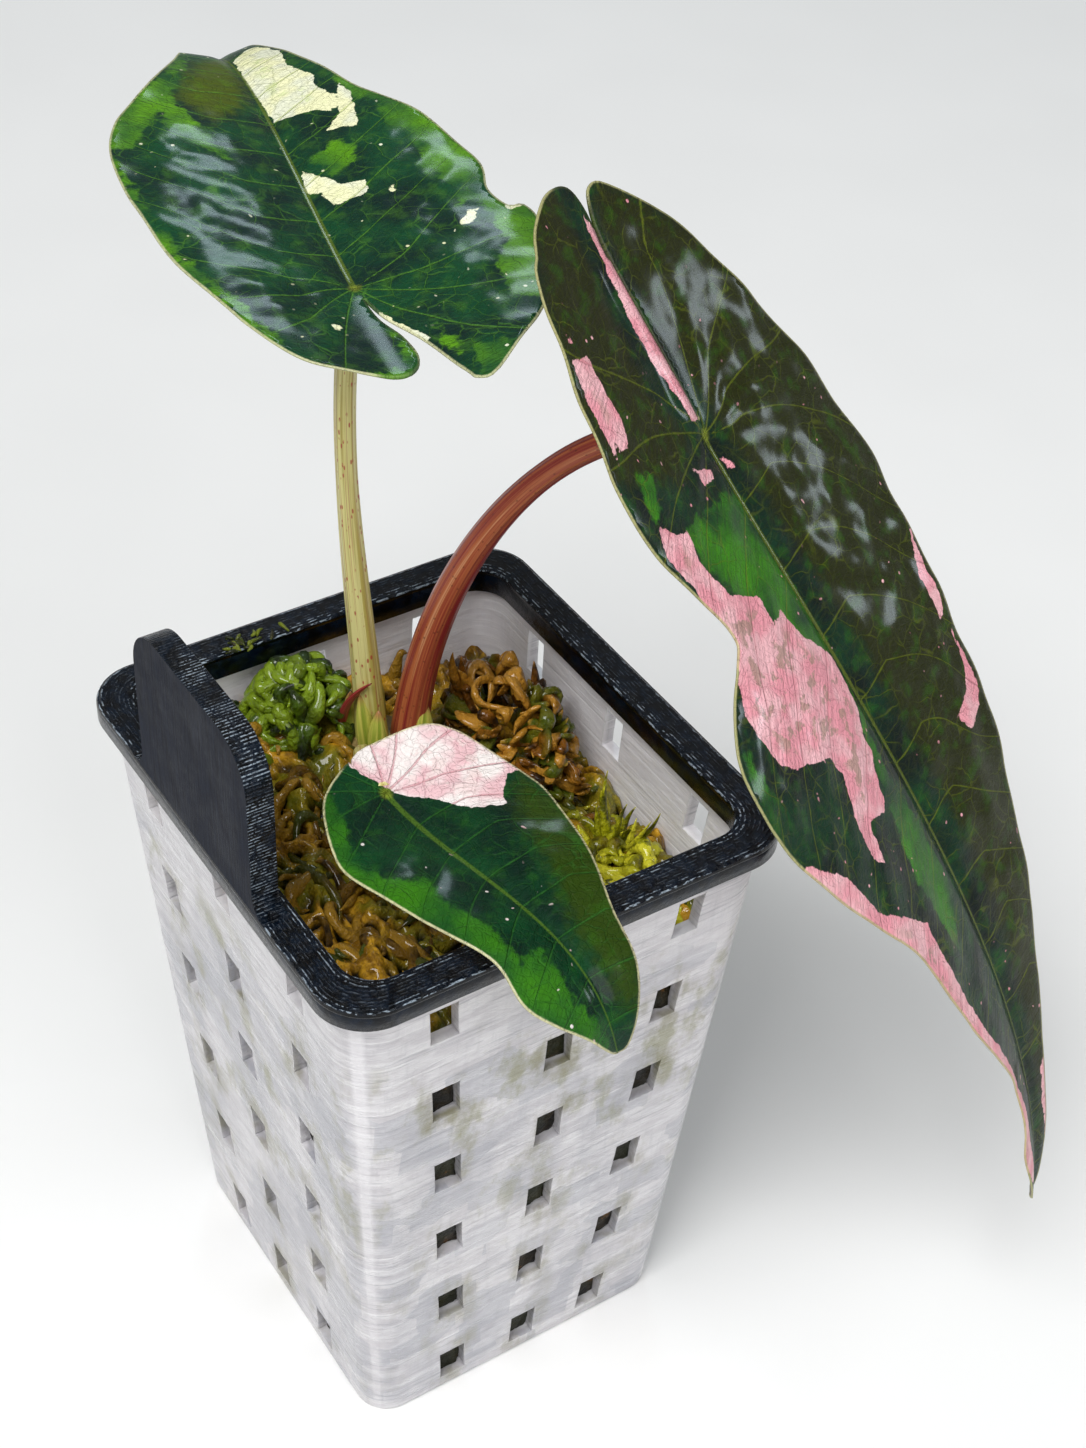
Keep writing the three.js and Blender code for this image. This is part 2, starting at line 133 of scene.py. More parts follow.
class Skin:
    """A material, with one short call for each kind of node that it needs."""

    def __init__(self, name, sockets=None):
        self.material = bpy.data.materials.new(name)
        self.material.use_nodes = True
        self.tree = self.material.node_tree
        self.surface = self.tree.nodes["Principled BSDF"]
        for socket, value in (sockets or {}).items():
            self.surface.inputs[socket].default_value = value

    def link(self, value, socket):
        """Feeds a socket with another node's output, a number or a hex colour."""
        if isinstance(value, bpy.types.NodeSocket):
            self.tree.links.new(value, socket)
        else:
            socket.default_value = srgb(value) if isinstance(value, str) else value

    def node(self, kind, inputs=None, **settings):
        made = self.tree.nodes.new("ShaderNode" + kind)
        for setting, value in settings.items():
            setattr(made, setting, value)
        for socket, value in (inputs or {}).items():
            self.link(value, made.inputs[socket])
        return made

    def math(self, operation, *values):
        return self.node("Math", dict(enumerate(values)), operation=operation).outputs[0]

    def plus(self, first, second):
        return self.math("ADD", first, second)

    def minus(self, first, second):
        return self.math("SUBTRACT", first, second)

    def times(self, first, second):
        return self.math("MULTIPLY", first, second)

    def larger(self, first, second):
        return self.math("MAXIMUM", first, second)

    def gap(self, first, second):
        """How far two values lie apart."""
        return self.math("ABSOLUTE", self.minus(first, second))

    def mix(self, share, first, second):
        return self.node("Mix", {0: share, 6: first, 7: second}, data_type="RGBA").outputs[2]

    def tint(self, colour, tone, share, strength=None):
        """The colour with a tone laid over it, by a share that a strength may weaken."""
        if strength is not None:
            share = self.times(share, strength)
        return self.mix(share, colour, tone)

    def rise(self, value, low, high, start=0.0, end=1.0):
        """A smooth step from start, where value is low, to end, where it is high."""
        made = self.node(
            "MapRange",
            {"Value": value, "From Min": low, "From Max": high, "To Min": start, "To Max": end},
            interpolation_type="SMOOTHSTEP",
        )
        return made.outputs[0]

    def fall(self, value, low, high):
        return self.rise(value, low, high, 1.0, 0.0)

    def millimetres(self):
        return self.stretch(self.node("TexCoord").outputs["Object"], (1000, 1000, 1000))

    def stretch(self, place, factors):
        return self.node("VectorMath", {0: place, 1: factors}, operation="MULTIPLY").outputs[0]

    def attribute(self, name):
        return self.node("Attribute", attribute_name=name).outputs["Vector"]

    def split(self, vector):
        return list(self.node("SeparateXYZ", {0: vector}).outputs)

    def join(self, *values):
        return self.node("CombineXYZ", dict(enumerate(values))).outputs[0]

    def noise(self, place, scale, detail=2.0, roughness=0.5):
        """Smooth noise. A scale of three numbers stretches it."""
        if isinstance(scale, tuple):
            place, scale = self.stretch(place, scale), 1.0
        inputs = {"Vector": place, "Scale": scale, "Detail": detail, "Roughness": roughness}
        return self.node("TexNoise", inputs).outputs["Fac"]

    def cells(self, place, scale, feature="F1"):
        made = self.node("TexVoronoi", {"Vector": place, "Scale": scale}, feature=feature)
        return made.outputs["Distance"]

    def paint(self, colour):
        self.link(colour, self.surface.inputs["Base Color"])

    def polish(self, roughness):
        self.link(roughness, self.surface.inputs["Roughness"])

    def emboss(self, height, distance, strength=1.0):
        """Bump from a height that runs from 0 to 1 and stands for that many millimetres."""
        inputs = {"Height": height, "Distance": distance * MM, "Strength": strength}
        self.link(self.node("Bump", inputs).outputs[0], self.surface.inputs["Normal"])


# Mesh helpers

def mesh_object(name, vertices, faces, skins, stands_for, attributes=None, kinds=None):
    """A smooth mesh piece, from millimetres, that rides on the pot and replaces CAD nodes."""
    mesh = bpy.data.meshes.new(name)
    mesh.from_pydata((np.asarray(vertices) * MM).tolist(), [], faces)
    mesh.update()
    for skin in skins:
        mesh.materials.append(skin)
    mesh.polygons.foreach_set("use_smooth", [True] * len(mesh.polygons))
    if kinds is not None:
        mesh.polygons.foreach_set("material_index", kinds)
    for key, values in (attributes or {}).items():
        layer = mesh.attributes.new(key, "FLOAT_VECTOR", "POINT")
        layer.data.foreach_set("vector", np.asarray(values, np.float32).ravel())
    piece = bpy.data.objects.new(name, mesh)
    bpy.context.scene.collection.objects.link(piece)
    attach(piece, "root")
    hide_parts(*stands_for)
    return piece


def band(low, high, count):
    """The quads between two closed loops of vertices, which start at these numbers."""
    nexts = [(i + 1) % count for i in range(count)]
    return [(low + i, low + j, high + j, high + i) for i, j in enumerate(nexts)]


def fan(first, count, centre):
    """The triangles between a closed loop of vertices and one in its middle."""
    return [(first + i, first + (i + 1) % count, centre) for i in range(count)]


def flipped(faces, shift=0):
    """The faces turned over, with all vertex numbers moved on."""
    return [tuple(i + shift for i in reversed(face)) for face in faces]


def square(x, y, half):
    return [(x - half, y - half), (x + half, y - half), (x + half, y + half), (x - half, y + half)]


def make_faces_outward(piece):
    shape = bmesh.new()
    shape.from_mesh(piece.data)
    bmesh.ops.recalc_face_normals(shape, faces=shape.faces)
    shape.to_mesh(piece.data)
    shape.free()


def bezier(points, share):
    p = np.asarray(points, float)
    t = np.asarray(share, float)[:, None]
    s = 1 - t
    return s ** 3 * p[0] + 3 * s * s * t * p[1] + 3 * s * t * t * p[2] + t ** 3 * p[3]


def unit(vectors):
    return vectors / np.maximum(np.linalg.norm(vectors, axis=-1, keepdims=True), 1e-9)


def smooth_loop(points, step):
    """A closed smooth curve through the points, in steps of about that length."""
    p = np.asarray(points, float)
    found = []
    for i in range(len(p)):
        before, start, end, after = (p[(i + k) % len(p)] for k in (-1, 0, 1, 2))
        count = max(1, round(np.linalg.norm(end - start) / step))
        for t in np.arange(count) / count:
            found.append(0.5 * (
                2 * start
                + (end - before) * t
                + (2 * before - 5 * start + 4 * end - after) * t * t
                + (3 * start - before - 3 * end + after) * t ** 3
            ))
    return np.array(found)


def distance_inside(points, outline):
    """Distance of each flat point from a closed outline, above 0 inside it and below 0 outside."""
    start = np.asarray(outline, float)
    end = np.roll(start, -1, axis=0)
    best = np.full(len(points), np.inf)
    inside = np.zeros(len(points), bool)
    x, y = points[:, 0], points[:, 1]
    for (x0, y0), (x1, y1) in zip(start, end):
        dx, dy = x1 - x0, y1 - y0
        share = np.clip(((x - x0) * dx + (y - y0) * dy) / max(dx * dx + dy * dy, 1e-9), 0, 1)
        best = np.minimum(best, np.hypot(x - x0 - share * dx, y - y0 - share * dy))
        if y0 != y1:
            crosses = ((y0 > y) != (y1 > y)) & (x < x0 + (y - y0) * dx / dy)
            inside ^= crosses
    return np.where(inside, best, -best)


def deepest(points, outlines):
    """Distance inside the nearest of several outlines."""
    return np.max([distance_inside(points, outline) for outline in outlines], axis=0)


def wave_noise(points, size, seed=0.0):
    """Smooth noise from -1 to 1 with bumps of about that size, on flat points."""
    return np.array([noise.noise(Vector((x / size + seed, y / size - seed, 0))) for x, y in points])


# Leaves

# Outlines and patches are flat points [across, along] from the stalk's end: across is positive to
# the right of the midrib, seen from above with the tip ahead.
LEAVES = {
    "upright": {
        "spine": [(-21, -1, 195), (-57.4, 7.4, 195.4), (-107.7, 18.9, 209.8), (-116.9, 21, 173.8)],
        "fold": 16, "curl": 0.012, "step": 0.8, "pitch": 9.5, "lip": 0,
        "outline": [
            (0, 108.5), (-4, 92), (-10, 73), (-17, 60), (-25, 48), (-28, 35), (-25.5, 12), (-21, -3),
            (-15, -17), (-7, -22.5), (0.5, -24), (3.5, -21), (3, -15), (1, -9), (0.5, -3.5), (2, -9),
            (5.5, -17.5), (8.5, -26), (9.5, -29), (13, -28.5), (24, -16), (28, -6), (31, 6), (30, 11),
            (27.5, 11), (26, 16), (27, 24), (23, 38), (14, 55), (8, 74), (4, 92),
        ],
        "pale": [
            [
                (0.5, 75), (3.5, 79), (6, 79), (8, 71), (7.5, 64), (10, 58), (9.5, 54), (11.5, 48),
                (9.5, 45.5), (7, 47), (0.5, 48), (0, 61),
            ],
            [(13, 54), (14, 50), (12.5, 39.5), (7.5, 40.5), (10.5, 44)],
            [(1, 32.5), (4, 28.5), (5, 26), (9.5, 25), (8.5, 22), (5, 21.5), (3, 21), (2, 25.5), (0, 27)],
            [(11.5, 21.5), (13, 22), (12, 19.5)],
            [(17.5, 6.5), (21, 11), (23, 11.5), (22, 9), (20.5, 8)],
            [(-6.5, -10), (-5, -10.5), (-6, -12)],
            [(2.5, 11.5), (3.5, 11), (2.5, 10)],
            [(27, 12), (27, 9.5), (30, 10.5), (30, 12)],
            [(1, -4), (3, -10.5), (6.5, -17.5), (5, -18), (2, -11)],
        ],
        "green": [
            [
                (-7, 81), (-13, 65), (-25, 50), (-29, 40), (-24, 40), (-17.5, 49.5), (-17.5, 43),
                (-10, 34.5), (-14.5, 54), (-8, 71.5),
            ],
            [(-29, 40), (-26, 12), (-16, -17), (-14.5, -15), (-24, 12), (-27, 36)],
            [
                (12, 56), (14, 47.5), (17, 46), (16, 36), (20, 30), (17.5, 25), (21.5, 18), (20, 13),
                (24, 14), (24, 2), (21, -4), (20, -13), (24.5, -15), (31.5, 4), (31, 10), (28, 16),
                (27, 28), (20, 47), (14.5, 57),
            ],
            [(3, 34), (7, 37), (11, 36), (9, 30), (5, 29)],
            [(7.5, -14), (10, -20), (9.5, -23.5), (8, -20)],
            [(11.5, -22), (17, -23), (14, -30), (9.5, -30)],
            [(2, -13), (4, -20), (1.5, -25), (-8, -24), (1, -22)],
        ],
        "olive": [[(-7, 71.5), (0, 78), (0, 63.5), (-2.5, 52.5), (-9.5, 46), (-14.5, 55)]],
        "skin": dict(
            deep="#062420", ground="#0b4426", bright="#62a00c", olive="#4a5a08", pale="#f4f4c4",
            blush="#e9ecd2", stain="#dbe6a8", vein="#5f9a2c", pale_vein="#c6d480", midrib="#566a1c",
            margin="#cfd0a0", under="#8fa06c",
        ),
    },
    "hanging": {
        "spine": [(13, 39.5, 176), (34, 52.5, 142), (73, 77, 92), (76.5, 79, 40)],
        "fold": 12, "curl": 0.008, "step": 0.85, "pitch": 12.5, "lip": 0.8,
        "outline": [
            (0, 157), (-4, 142), (-6.5, 125), (-17, 98), (-27, 72), (-31, 45), (-32, 33), (-34, 23),
            (-30, 2), (-24, -13), (-17.5, -28), (-9, -38.5), (-5, -40), (-2.8, -37.5), (-1.5, -33),
            (-1, -25), (-0.9, -12), (-0.3, -2.6), (0, -12), (-0.2, -25), (-0.6, -32), (-1.6, -37.5),
            (-0.5, -42), (4, -43.6), (9, -43), (16, -39), (21, -34), (29, -8), (29, 5), (24, 21),
            (27, 26), (37, 35), (39.5, 45), (35, 62), (23.5, 84), (15, 109), (8.5, 125), (8, 140),
            (5, 151),
        ],
        "pale": [
            [
                (25.5, 1.5), (22.5, 5), (20, 6), (21, 11), (19, 18), (12, 22.5), (13, 27.5), (8.5, 27),
                (7, 33), (1, 40.5), (3, 49.5), (6, 52.5), (6, 56), (9, 58), (11, 62), (13, 63),
                (18, 61), (20, 67.5), (22, 65.5), (21.5, 58), (18, 52), (19, 48), (27.5, 44),
                (30.5, 41), (31, 35.5), (30.5, 32), (25, 23), (26, 12), (27.5, 6),
            ],
            [
                (23, -24.5), (19, -23.5), (19.5, -13.5), (21.5, -9.5), (23.5, -10), (24, -12), (26, -9),
                (25, -15),
            ],
            [(21.5, -26.5), (20.5, -26), (20.5, -28.5)],
            [(9.5, 1), (4, 4), (5, 5.5), (8.5, 4.5)],
            [(-0.5, 3.5), (-3, 8), (-1, 6.5)],
            [
                (-0.6, -38), (1, -34), (2.3, -29), (3.2, -22), (3.6, -14), (2, -3), (0, -2.5),
                (-0.5, -29), (-1.4, -35),
            ],
            [
                (37, 54.5), (30.5, 62), (27, 72), (17.5, 81), (17, 91), (13, 107), (6, 127), (3, 152),
                (10, 140), (13.5, 115), (23, 92), (27, 79), (38.5, 56),
            ],
            [(-33, 32.5), (-30, 43), (-29, 52), (-27, 53.5), (-27, 45), (-30, 40)],
            [(-28.5, 55), (-27, 67), (-25, 69), (-20, 70.5), (-17.5, 66.5), (-23, 65), (-25.5, 63)],
            [(-6, 128), (-3.5, 147), (-3, 140), (-4, 130)],
        ],
        "green": [
            [(23.5, -6.5), (20, -3.5), (24, 1.5), (26.5, 1.5)],
            [(20, 6), (10.5, 6.5), (0, 10), (0.5, 41), (9, 34), (13.5, 28.5), (21, 10)],
            [(0.5, 44), (5.5, 59), (4, 70), (3.5, 85), (12, 91.5), (14.5, 76), (11.5, 66.5), (8, 56.5)],
            [(34.5, 32), (35.5, 42), (34, 55.5), (39.5, 50.5), (40, 43)],
        ],
        "olive": [
            [
                (-1.5, -36), (-3, -4), (-5, 40), (-5, 90), (-0.5, 150), (-8, 130), (-34, 66), (-38, 22),
                (-26, -18), (-8, -42),
            ],
            [(2, -44), (8, -12), (4, -2), (14, 2), (24, -4), (31, -8), (22, -34), (10, -46)],
        ],
        "skin": dict(
            deep="#0c1815", ground="#0f3220", bright="#3f8a0c", olive="#242809", pale="#e99aa6",
            blush="#f2bac0", stain="#a58a7a", vein="#6f7c1a", pale_vein="#d0808a", midrib="#59661f",
            margin="#b9b57e", under="#8f8672",
        ),
    },
    "low": {
        "spine": [(12, -15, 128), (28, -11.5, 122), (54.5, -5.5, 133.5), (61.5, -4, 110)],
        "fold": 10, "curl": 0.012, "step": 0.5, "pitch": 7.5, "lip": 0,
        "outline": [
            (0, 58), (-4, 55), (-8, 47), (-10, 39), (-15, 29), (-19, 17), (-19.3, 11), (-18, 2),
            (-16, -3), (-12.5, -6), (-3, -8), (0.5, -7.6), (1.2, -6.7), (2.4, -7.2), (10, -3.5),
            (15, 5), (15.7, 12), (13, 27), (11.2, 35.5), (12.2, 42.5), (10, 47), (5, 52.5),
        ],
        "pale": [
            [
                (1.5, -8), (-4, -10.5), (-13.5, -9), (-18.5, -4.5), (-20, 3), (-20, 10), (-17, 9.5),
                (-14, 11.5), (-12.5, 14), (-8, 11), (-7, 9), (-5, 5.5), (-2, 2.5), (0, -2), (2, -6.5),
            ],
            [(1.5, 3), (2.5, 3.5), (2, 2.5)],
        ],
        "green": [
            [
                (6.5, -7), (12, 6), (13, 10.5), (10, 16.5), (6.5, 18), (9, 22), (7, 30), (8, 37.5),
                (3.5, 37), (4, 46), (0.5, 56), (4, 57), (14, 48), (13.5, 34), (18, 14), (16, 0),
            ],
        ],
        "olive": [
            [
                (-19.5, 9), (-12.5, 14.5), (-6.5, 29), (-2, 38.5), (-2, 52), (-6, 54), (-12, 42),
                (-20, 24),
            ],
        ],
        "skin": dict(
            deep="#07231a", ground="#0c4020", bright="#3a7e10", olive="#2a4008", pale="#f6efec",
            blush="#ecc3c8", stain="#f2dcda", vein="#2f6c26", pale_vein="#d8959e", midrib="#4a6a20",
            margin="#e2dcae", under="#9aa878",
        ),
    },
}

# Climb of a side vein away from the midrib, and the turn between the veins that fan into the lobes
VEIN_SLOPE = 0.42
VEIN_BEND = 0.014
VEIN_FAN = 0.5
# The side veins' pitch at which the relief below has its full depth
VEIN_PITCH_USUAL = 10
# How far from the midrib the fold is rounded off, and how much farther in the lobes
MIDRIB_SOFTNESS = 1.4
LOBE_SOFTNESS = 4
LOBE_REACH = 8
# Depths of the upper side's relief
PUFF = 0.15
TROUGH = 0.5
DENT = 0.26
WRINKLE = 0.05
RIPPLE = 0.9
EDGE_THICKNESS = 0.3


class Blade:
    """A leaf drawn flat and bent over its midrib, as the frame's leaf is."""

    def __init__(self, leaf):
        self.fold = math.radians(leaf["fold"])
        self.curl = leaf["curl"]
        self.line = bezier(leaf["spine"], np.linspace(0, 1, 401))
        steps = np.linalg.norm(np.diff(self.line, axis=0), axis=1)
        self.reach = np.concatenate([[0], np.cumsum(steps)])
        self.length = self.reach[-1]
        self.course = unit(np.gradient(self.line, axis=0))

    def along_line(self, values, along):
        at = np.clip(along, 0, self.length)
        return np.stack([np.interp(at, self.reach, values[:, i]) for i in range(3)], axis=1)

    def place(self, across, along, above):
        middle = self.along_line(self.line, along)
        ahead = unit(self.along_line(self.course, along))
        right = unit(np.cross(ahead, UP))
        up = np.cross(right, ahead)
        bent = self.fold - self.curl * np.abs(across)
        out = (math.sin(self.fold) - np.sin(bent)) / self.curl
        soft = MIDRIB_SOFTNESS + LOBE_SOFTNESS * np.clip(-along / LOBE_REACH, 0, 1)
        slant = np.hypot(across, soft)
        rounded = self.fold - self.curl * (slant - soft)
        lift = (np.cos(rounded) - math.cos(self.fold)) / self.curl
        sideways = np.sign(across) * (out - above * np.sin(bent) * np.abs(across) / slant)
        upwards = lift + above * np.cos(bent)
        back = np.minimum(0, along)[:, None]
        return middle + ahead * back + right * sideways[:, None] + up * upwards[:, None]


def side_veins(points, pitch):
    """Whole numbers of the first result lie on side veins, which are second result apart."""
    across, along = points[:, 0], points[:, 1]
    reach = np.maximum(np.abs(across), 0.05)
    climb = VEIN_SLOPE * reach + VEIN_BEND * reach ** 2
    ahead = (along - climb) / pitch
    fan = (np.arctan2(along, reach) - np.arctan2(climb, reach)) / VEIN_FAN
    spread = VEIN_FAN * np.hypot(across, along)
    far = np.clip(reach / 9, 0, 1)
    shift = 0.5 * far * (across < 0) + 0.22 * far * wave_noise(points, 17, pitch)
    return np.where(ahead > 0, ahead, fan) + shift, np.where(ahead > 0, pitch, spread)


def flat_leaf(leaf):
    """Points and triangles of a leaf's flat outline, with the outline's points first."""
    step = leaf["step"]
    edge = smooth_loop(leaf["outline"], step)
    low, high = edge.min(axis=0), edge.max(axis=0)
    rows = np.arange(low[1], high[1], step * 0.87)
    grid = np.array([
        (x + (i % 2) * step / 2, y)
        for i, y in enumerate(rows)
        for x in np.arange(low[0], high[0], step)
    ])
    grid = grid[distance_inside(grid, edge) > step * 0.6]
    points = [Vector(p) for p in np.vstack([edge, grid])]
    count = len(edge)
    loop = [(i, (i + 1) % count) for i in range(count)]
    made = geometry.delaunay_2d_cdt(points, loop, [], 1, 1e-6)
    flat = np.array([tuple(p) for p in made[0]])
    return flat, [tuple(f) for f in made[2]], count


def leaf_relief(leaf, flat, edge, between, inward):
    """Heights of the upper side over a plain bent blade: puffed between the side veins, sunk along
    the midrib, uneven, wavy at the edge, and turned up beside the slit."""
    across, along = flat[:, 0], flat[:, 1]
    size = leaf["pitch"] / VEIN_PITCH_USUAL
    trough = np.exp(-(across / 1.3) ** 2) * np.clip((along + 2) / 4, 0, 1)
    above = size * (PUFF * between * inward - TROUGH * trough)
    above += DENT * size * wave_noise(flat * (1, 0.7), 6, 1.9) * inward
    above += WRINKLE * wave_noise(flat, 2.2, 4.1) * inward
    at_edge = np.clip(1 - edge / 9, 0, 1) * np.clip(np.abs(across) / 12, 0, 1)
    above += RIPPLE * size * wave_noise(flat, 11, 3.3) * at_edge
    in_lobe = np.clip(-along / 6, 0, 1) * np.clip((along + 38) / 8, 0, 1)
    above += leaf["lip"] * in_lobe * np.exp(-((across - 1.5) / 2) ** 2) * (across > -0.4)
    return above


def make_leaf(name, leaf, node):
    blade = Blade(leaf)
    flat, faces, edge_count = flat_leaf(leaf)
    count = len(flat)
    across, along = flat[:, 0], flat[:, 1]
    edge = np.maximum(distance_inside(flat, flat[:edge_count]), 0)
    pale, green, olive = (deepest(flat, leaf[patch]) for patch in ("pale", "green", "olive"))
    phase, pitch = side_veins(flat, leaf["pitch"])
    between = 0.5 - 0.5 * np.cos(2 * math.pi * phase)
    inward = np.clip(edge / 7, 0, 1) * np.clip(np.abs(across) / 8, 0, 1)
    above = leaf_relief(leaf, flat, edge, between, inward)
    by_rib = np.clip(1 - along / blade.length, 0, 1) * np.exp(-(across / 3) ** 2)
    thickness = EDGE_THICKNESS + 0.3 * np.clip(edge / 5, 0, 1) + 0.35 * by_rib
    top = blade.place(across, along, above)
    bottom = blade.place(across, along, above - thickness - 0.22 * (1 - between) * inward)
    attributes = {
        "flat": (across, along, np.zeros(count)),
        "marks": (pale, green, edge),
        "veins": (phase, pitch, olive),
    }
    colours = leaf["skin"]
    return mesh_object(
        name, np.vstack([top, bottom]),
        faces + flipped(band(0, count, edge_count)) + flipped(faces, count),
        [leaf_skin(name, colours, blade.length), underside_skin(name, colours)], [node],
        {key: np.tile(np.column_stack(values), (2, 1)) for key, values in attributes.items()},
        [0] * (len(faces) + edge_count) + [1] * len(faces),
    )


def vein_distance(skin, phase, pitch):
    """Distance from the nearest side vein."""
    return skin.times(skin.gap(skin.math("FRACT", skin.plus(phase, 0.5)), 0.5), pitch)


def leaf_skin(name, colours, length):
    """The glossy upper side: green ground, bright and pale patches, and veins in net and ranks."""
    skin = Skin(name + "_upper", {
        "Coat Weight": 0.27, "Coat Roughness": 0.14, "IOR": 1.45, "Specular IOR Level": 0.1,
    })
    place = skin.attribute("flat")
    across, along, _ = skin.split(place)
    away = skin.math("ABSOLUTE", across)
    pale, green, edge = skin.split(skin.attribute("marks"))
    phase, pitch, olive = skin.split(skin.attribute("veins"))
    broad = skin.noise(place, 0.09, detail=3)
    jag = skin.minus(skin.noise(place, 0.55, detail=4, roughness=0.65), 0.5)
    block = skin.minus(skin.cells(place, 0.42), 0.55)
    ragged = skin.plus(skin.times(jag, 2.6), skin.times(block, 0.9))
    swirl = skin.node("TexNoise", {"Vector": place, "Scale": 0.25}).outputs["Color"]
    swirl = skin.stretch(swirl, (3, 3, 0))
    warped = skin.node("VectorMath", {0: place, 1: swirl}, operation="ADD").outputs[0]

    # veins
    aside = skin.plus(vein_distance(skin, phase, pitch), skin.times(jag, 0.5))
    side_vein = skin.fall(aside, 0.04, 0.28)
    net = skin.fall(skin.cells(warped, 0.24, "DISTANCE_TO_EDGE"), 0.008, 0.04)
    net = skin.times(net, skin.rise(skin.noise(place, 0.13), 0.4, 0.62, 0.15, 1.0))
    mesh = skin.fall(skin.cells(warped, 0.75, "DISTANCE_TO_EDGE"), 0.01, 0.09)
    midrib = skin.fall(skin.minus(away, skin.rise(along, -4, length, 0.45, 0.1)), -0.12, 0.12)
    midrib = skin.times(midrib, skin.rise(along, -1.5, 0.5))

    # ground
    ground = skin.mix(skin.rise(broad, 0.35, 0.65), colours["deep"], colours["ground"])
    in_olive = skin.rise(skin.plus(olive, skin.times(jag, 6)), -1.5, 3)
    ground = skin.tint(ground, colours["olive"], in_olive)
    in_green = skin.rise(skin.plus(green, skin.times(ragged, 1.6)), -0.5, 0.7)
    leafy = skin.mix(skin.rise(broad, 0.3, 0.7), colours["bright"], colours["ground"])
    ground = skin.tint(ground, leafy, in_green, 0.9)
    patchy = skin.rise(skin.noise(place, 0.3, detail=3), 0.5, 0.7)
    ground = skin.tint(ground, colours["bright"], patchy, 0.16)
    on_vein = skin.larger(skin.times(net, 0.3), skin.times(side_vein, 0.5))
    on_vein = skin.larger(on_vein, skin.times(mesh, 0.05))
    ground = skin.tint(ground, colours["vein"], on_vein)

    # pale patches and flecks
    blushed = skin.rise(skin.noise(place, 0.16, detail=2), 0.4, 0.62)
    cream = skin.mix(blushed, colours["pale"], colours["blush"])
    stain = skin.rise(skin.noise(place, 0.24, detail=5, roughness=0.6), 0.53, 0.57)
    stain = skin.times(stain, skin.rise(pale, 1.0, 3.5))
    cream = skin.tint(cream, colours["stain"], stain, 0.75)
    on_vein = skin.larger(skin.times(net, 0.2), skin.times(side_vein, 0.65))
    cream = skin.tint(cream, colours["pale_vein"], on_vein)
    in_pale = skin.rise(skin.plus(pale, skin.times(ragged, 0.55)), -0.08, 0.08)
    fleck = skin.fall(skin.cells(place, 0.19), 0.04, 0.07)
    fleck = skin.times(fleck, skin.rise(broad, 0.42, 0.52))
    dust = skin.fall(skin.cells(warped, 0.36), 0.05, 0.1)
    dust = skin.times(dust, skin.rise(skin.noise(place, 0.06), 0.46, 0.56, 0.0, 0.75))
    colour = skin.tint(ground, cream, skin.larger(in_pale, skin.larger(fleck, dust)))

    # rim, midrib and the spot where the stalk joins
    rim = skin.fall(skin.plus(edge, skin.times(jag, 0.25)), 0.12, 0.42)
    off_slit = skin.plus(away, skin.rise(along, -4, -1, 0, 9))
    rim = skin.times(rim, skin.rise(off_slit, 2.5, 4.5, 0.1, 0.8))
    colour = skin.tint(colour, colours["margin"], rim)
    colour = skin.tint(colour, colours["midrib"], midrib, 0.85)
    from_stalk = skin.node("VectorMath", {0: place}, operation="LENGTH").outputs["Value"]
    apex = skin.fall(skin.plus(from_stalk, jag), 0.4, 1.5)
    skin.paint(skin.tint(colour, "#93a032", apex, 0.55))

    # surface, with fine creases that run beside the side veins
    beside = skin.join(skin.times(phase, pitch), skin.times(away, 0.2))
    creases = skin.noise(beside, 0.8, detail=3, roughness=0.55)
    wrinkle = skin.noise(skin.stretch(place, (1.1, 2.6, 1)), 0.9, detail=4, roughness=0.6)
    wrinkle = skin.plus(wrinkle, skin.times(creases, 2.4))
    skin.polish(skin.rise(skin.noise(place, 0.35), 0.3, 0.7, 0.4, 0.55))
    groove = skin.larger(side_vein, skin.times(net, 0.6))
    height = skin.minus(skin.times(wrinkle, 0.45), skin.times(groove, 0.4))
    skin.emboss(skin.minus(height, skin.times(mesh, 0.15)), 0.7, 0.9)
    return skin.material


def underside_skin(name, colours):
    """The matt underside, paler, with raised veins."""
    skin = Skin(name + "_under", {"Roughness": 0.5})
    place = skin.attribute("flat")
    pale, _, edge = skin.split(skin.attribute("marks"))
    phase, pitch, _ = skin.split(skin.attribute("veins"))
    side_vein = skin.fall(vein_distance(skin, phase, pitch), 0.25, 0.75)
    net = skin.fall(skin.cells(place, 0.24, "DISTANCE_TO_EDGE"), 0.01, 0.07)
    broad = skin.rise(skin.noise(place, 0.12, detail=4), 0.35, 0.65)
    ground = skin.mix(broad, colours["under"], "#6f6a58")
    in_pale = skin.rise(skin.plus(pale, skin.noise(place, 0.5, detail=3)), 0.3, 0.7)
    ground = skin.tint(ground, colours["pale"], in_pale, 0.7)
    ribs = skin.larger(skin.times(side_vein, 0.75), skin.times(net, 0.4))
    colour = skin.tint(ground, "#7a4a44", ribs)
    skin.paint(skin.tint(colour, colours["margin"], skin.fall(edge, 0.2, 0.6)))
    skin.emboss(skin.plus(ribs, skin.noise(place, 1.5, detail=3)), 0.3, 0.8)
    return skin.material


# Stalks

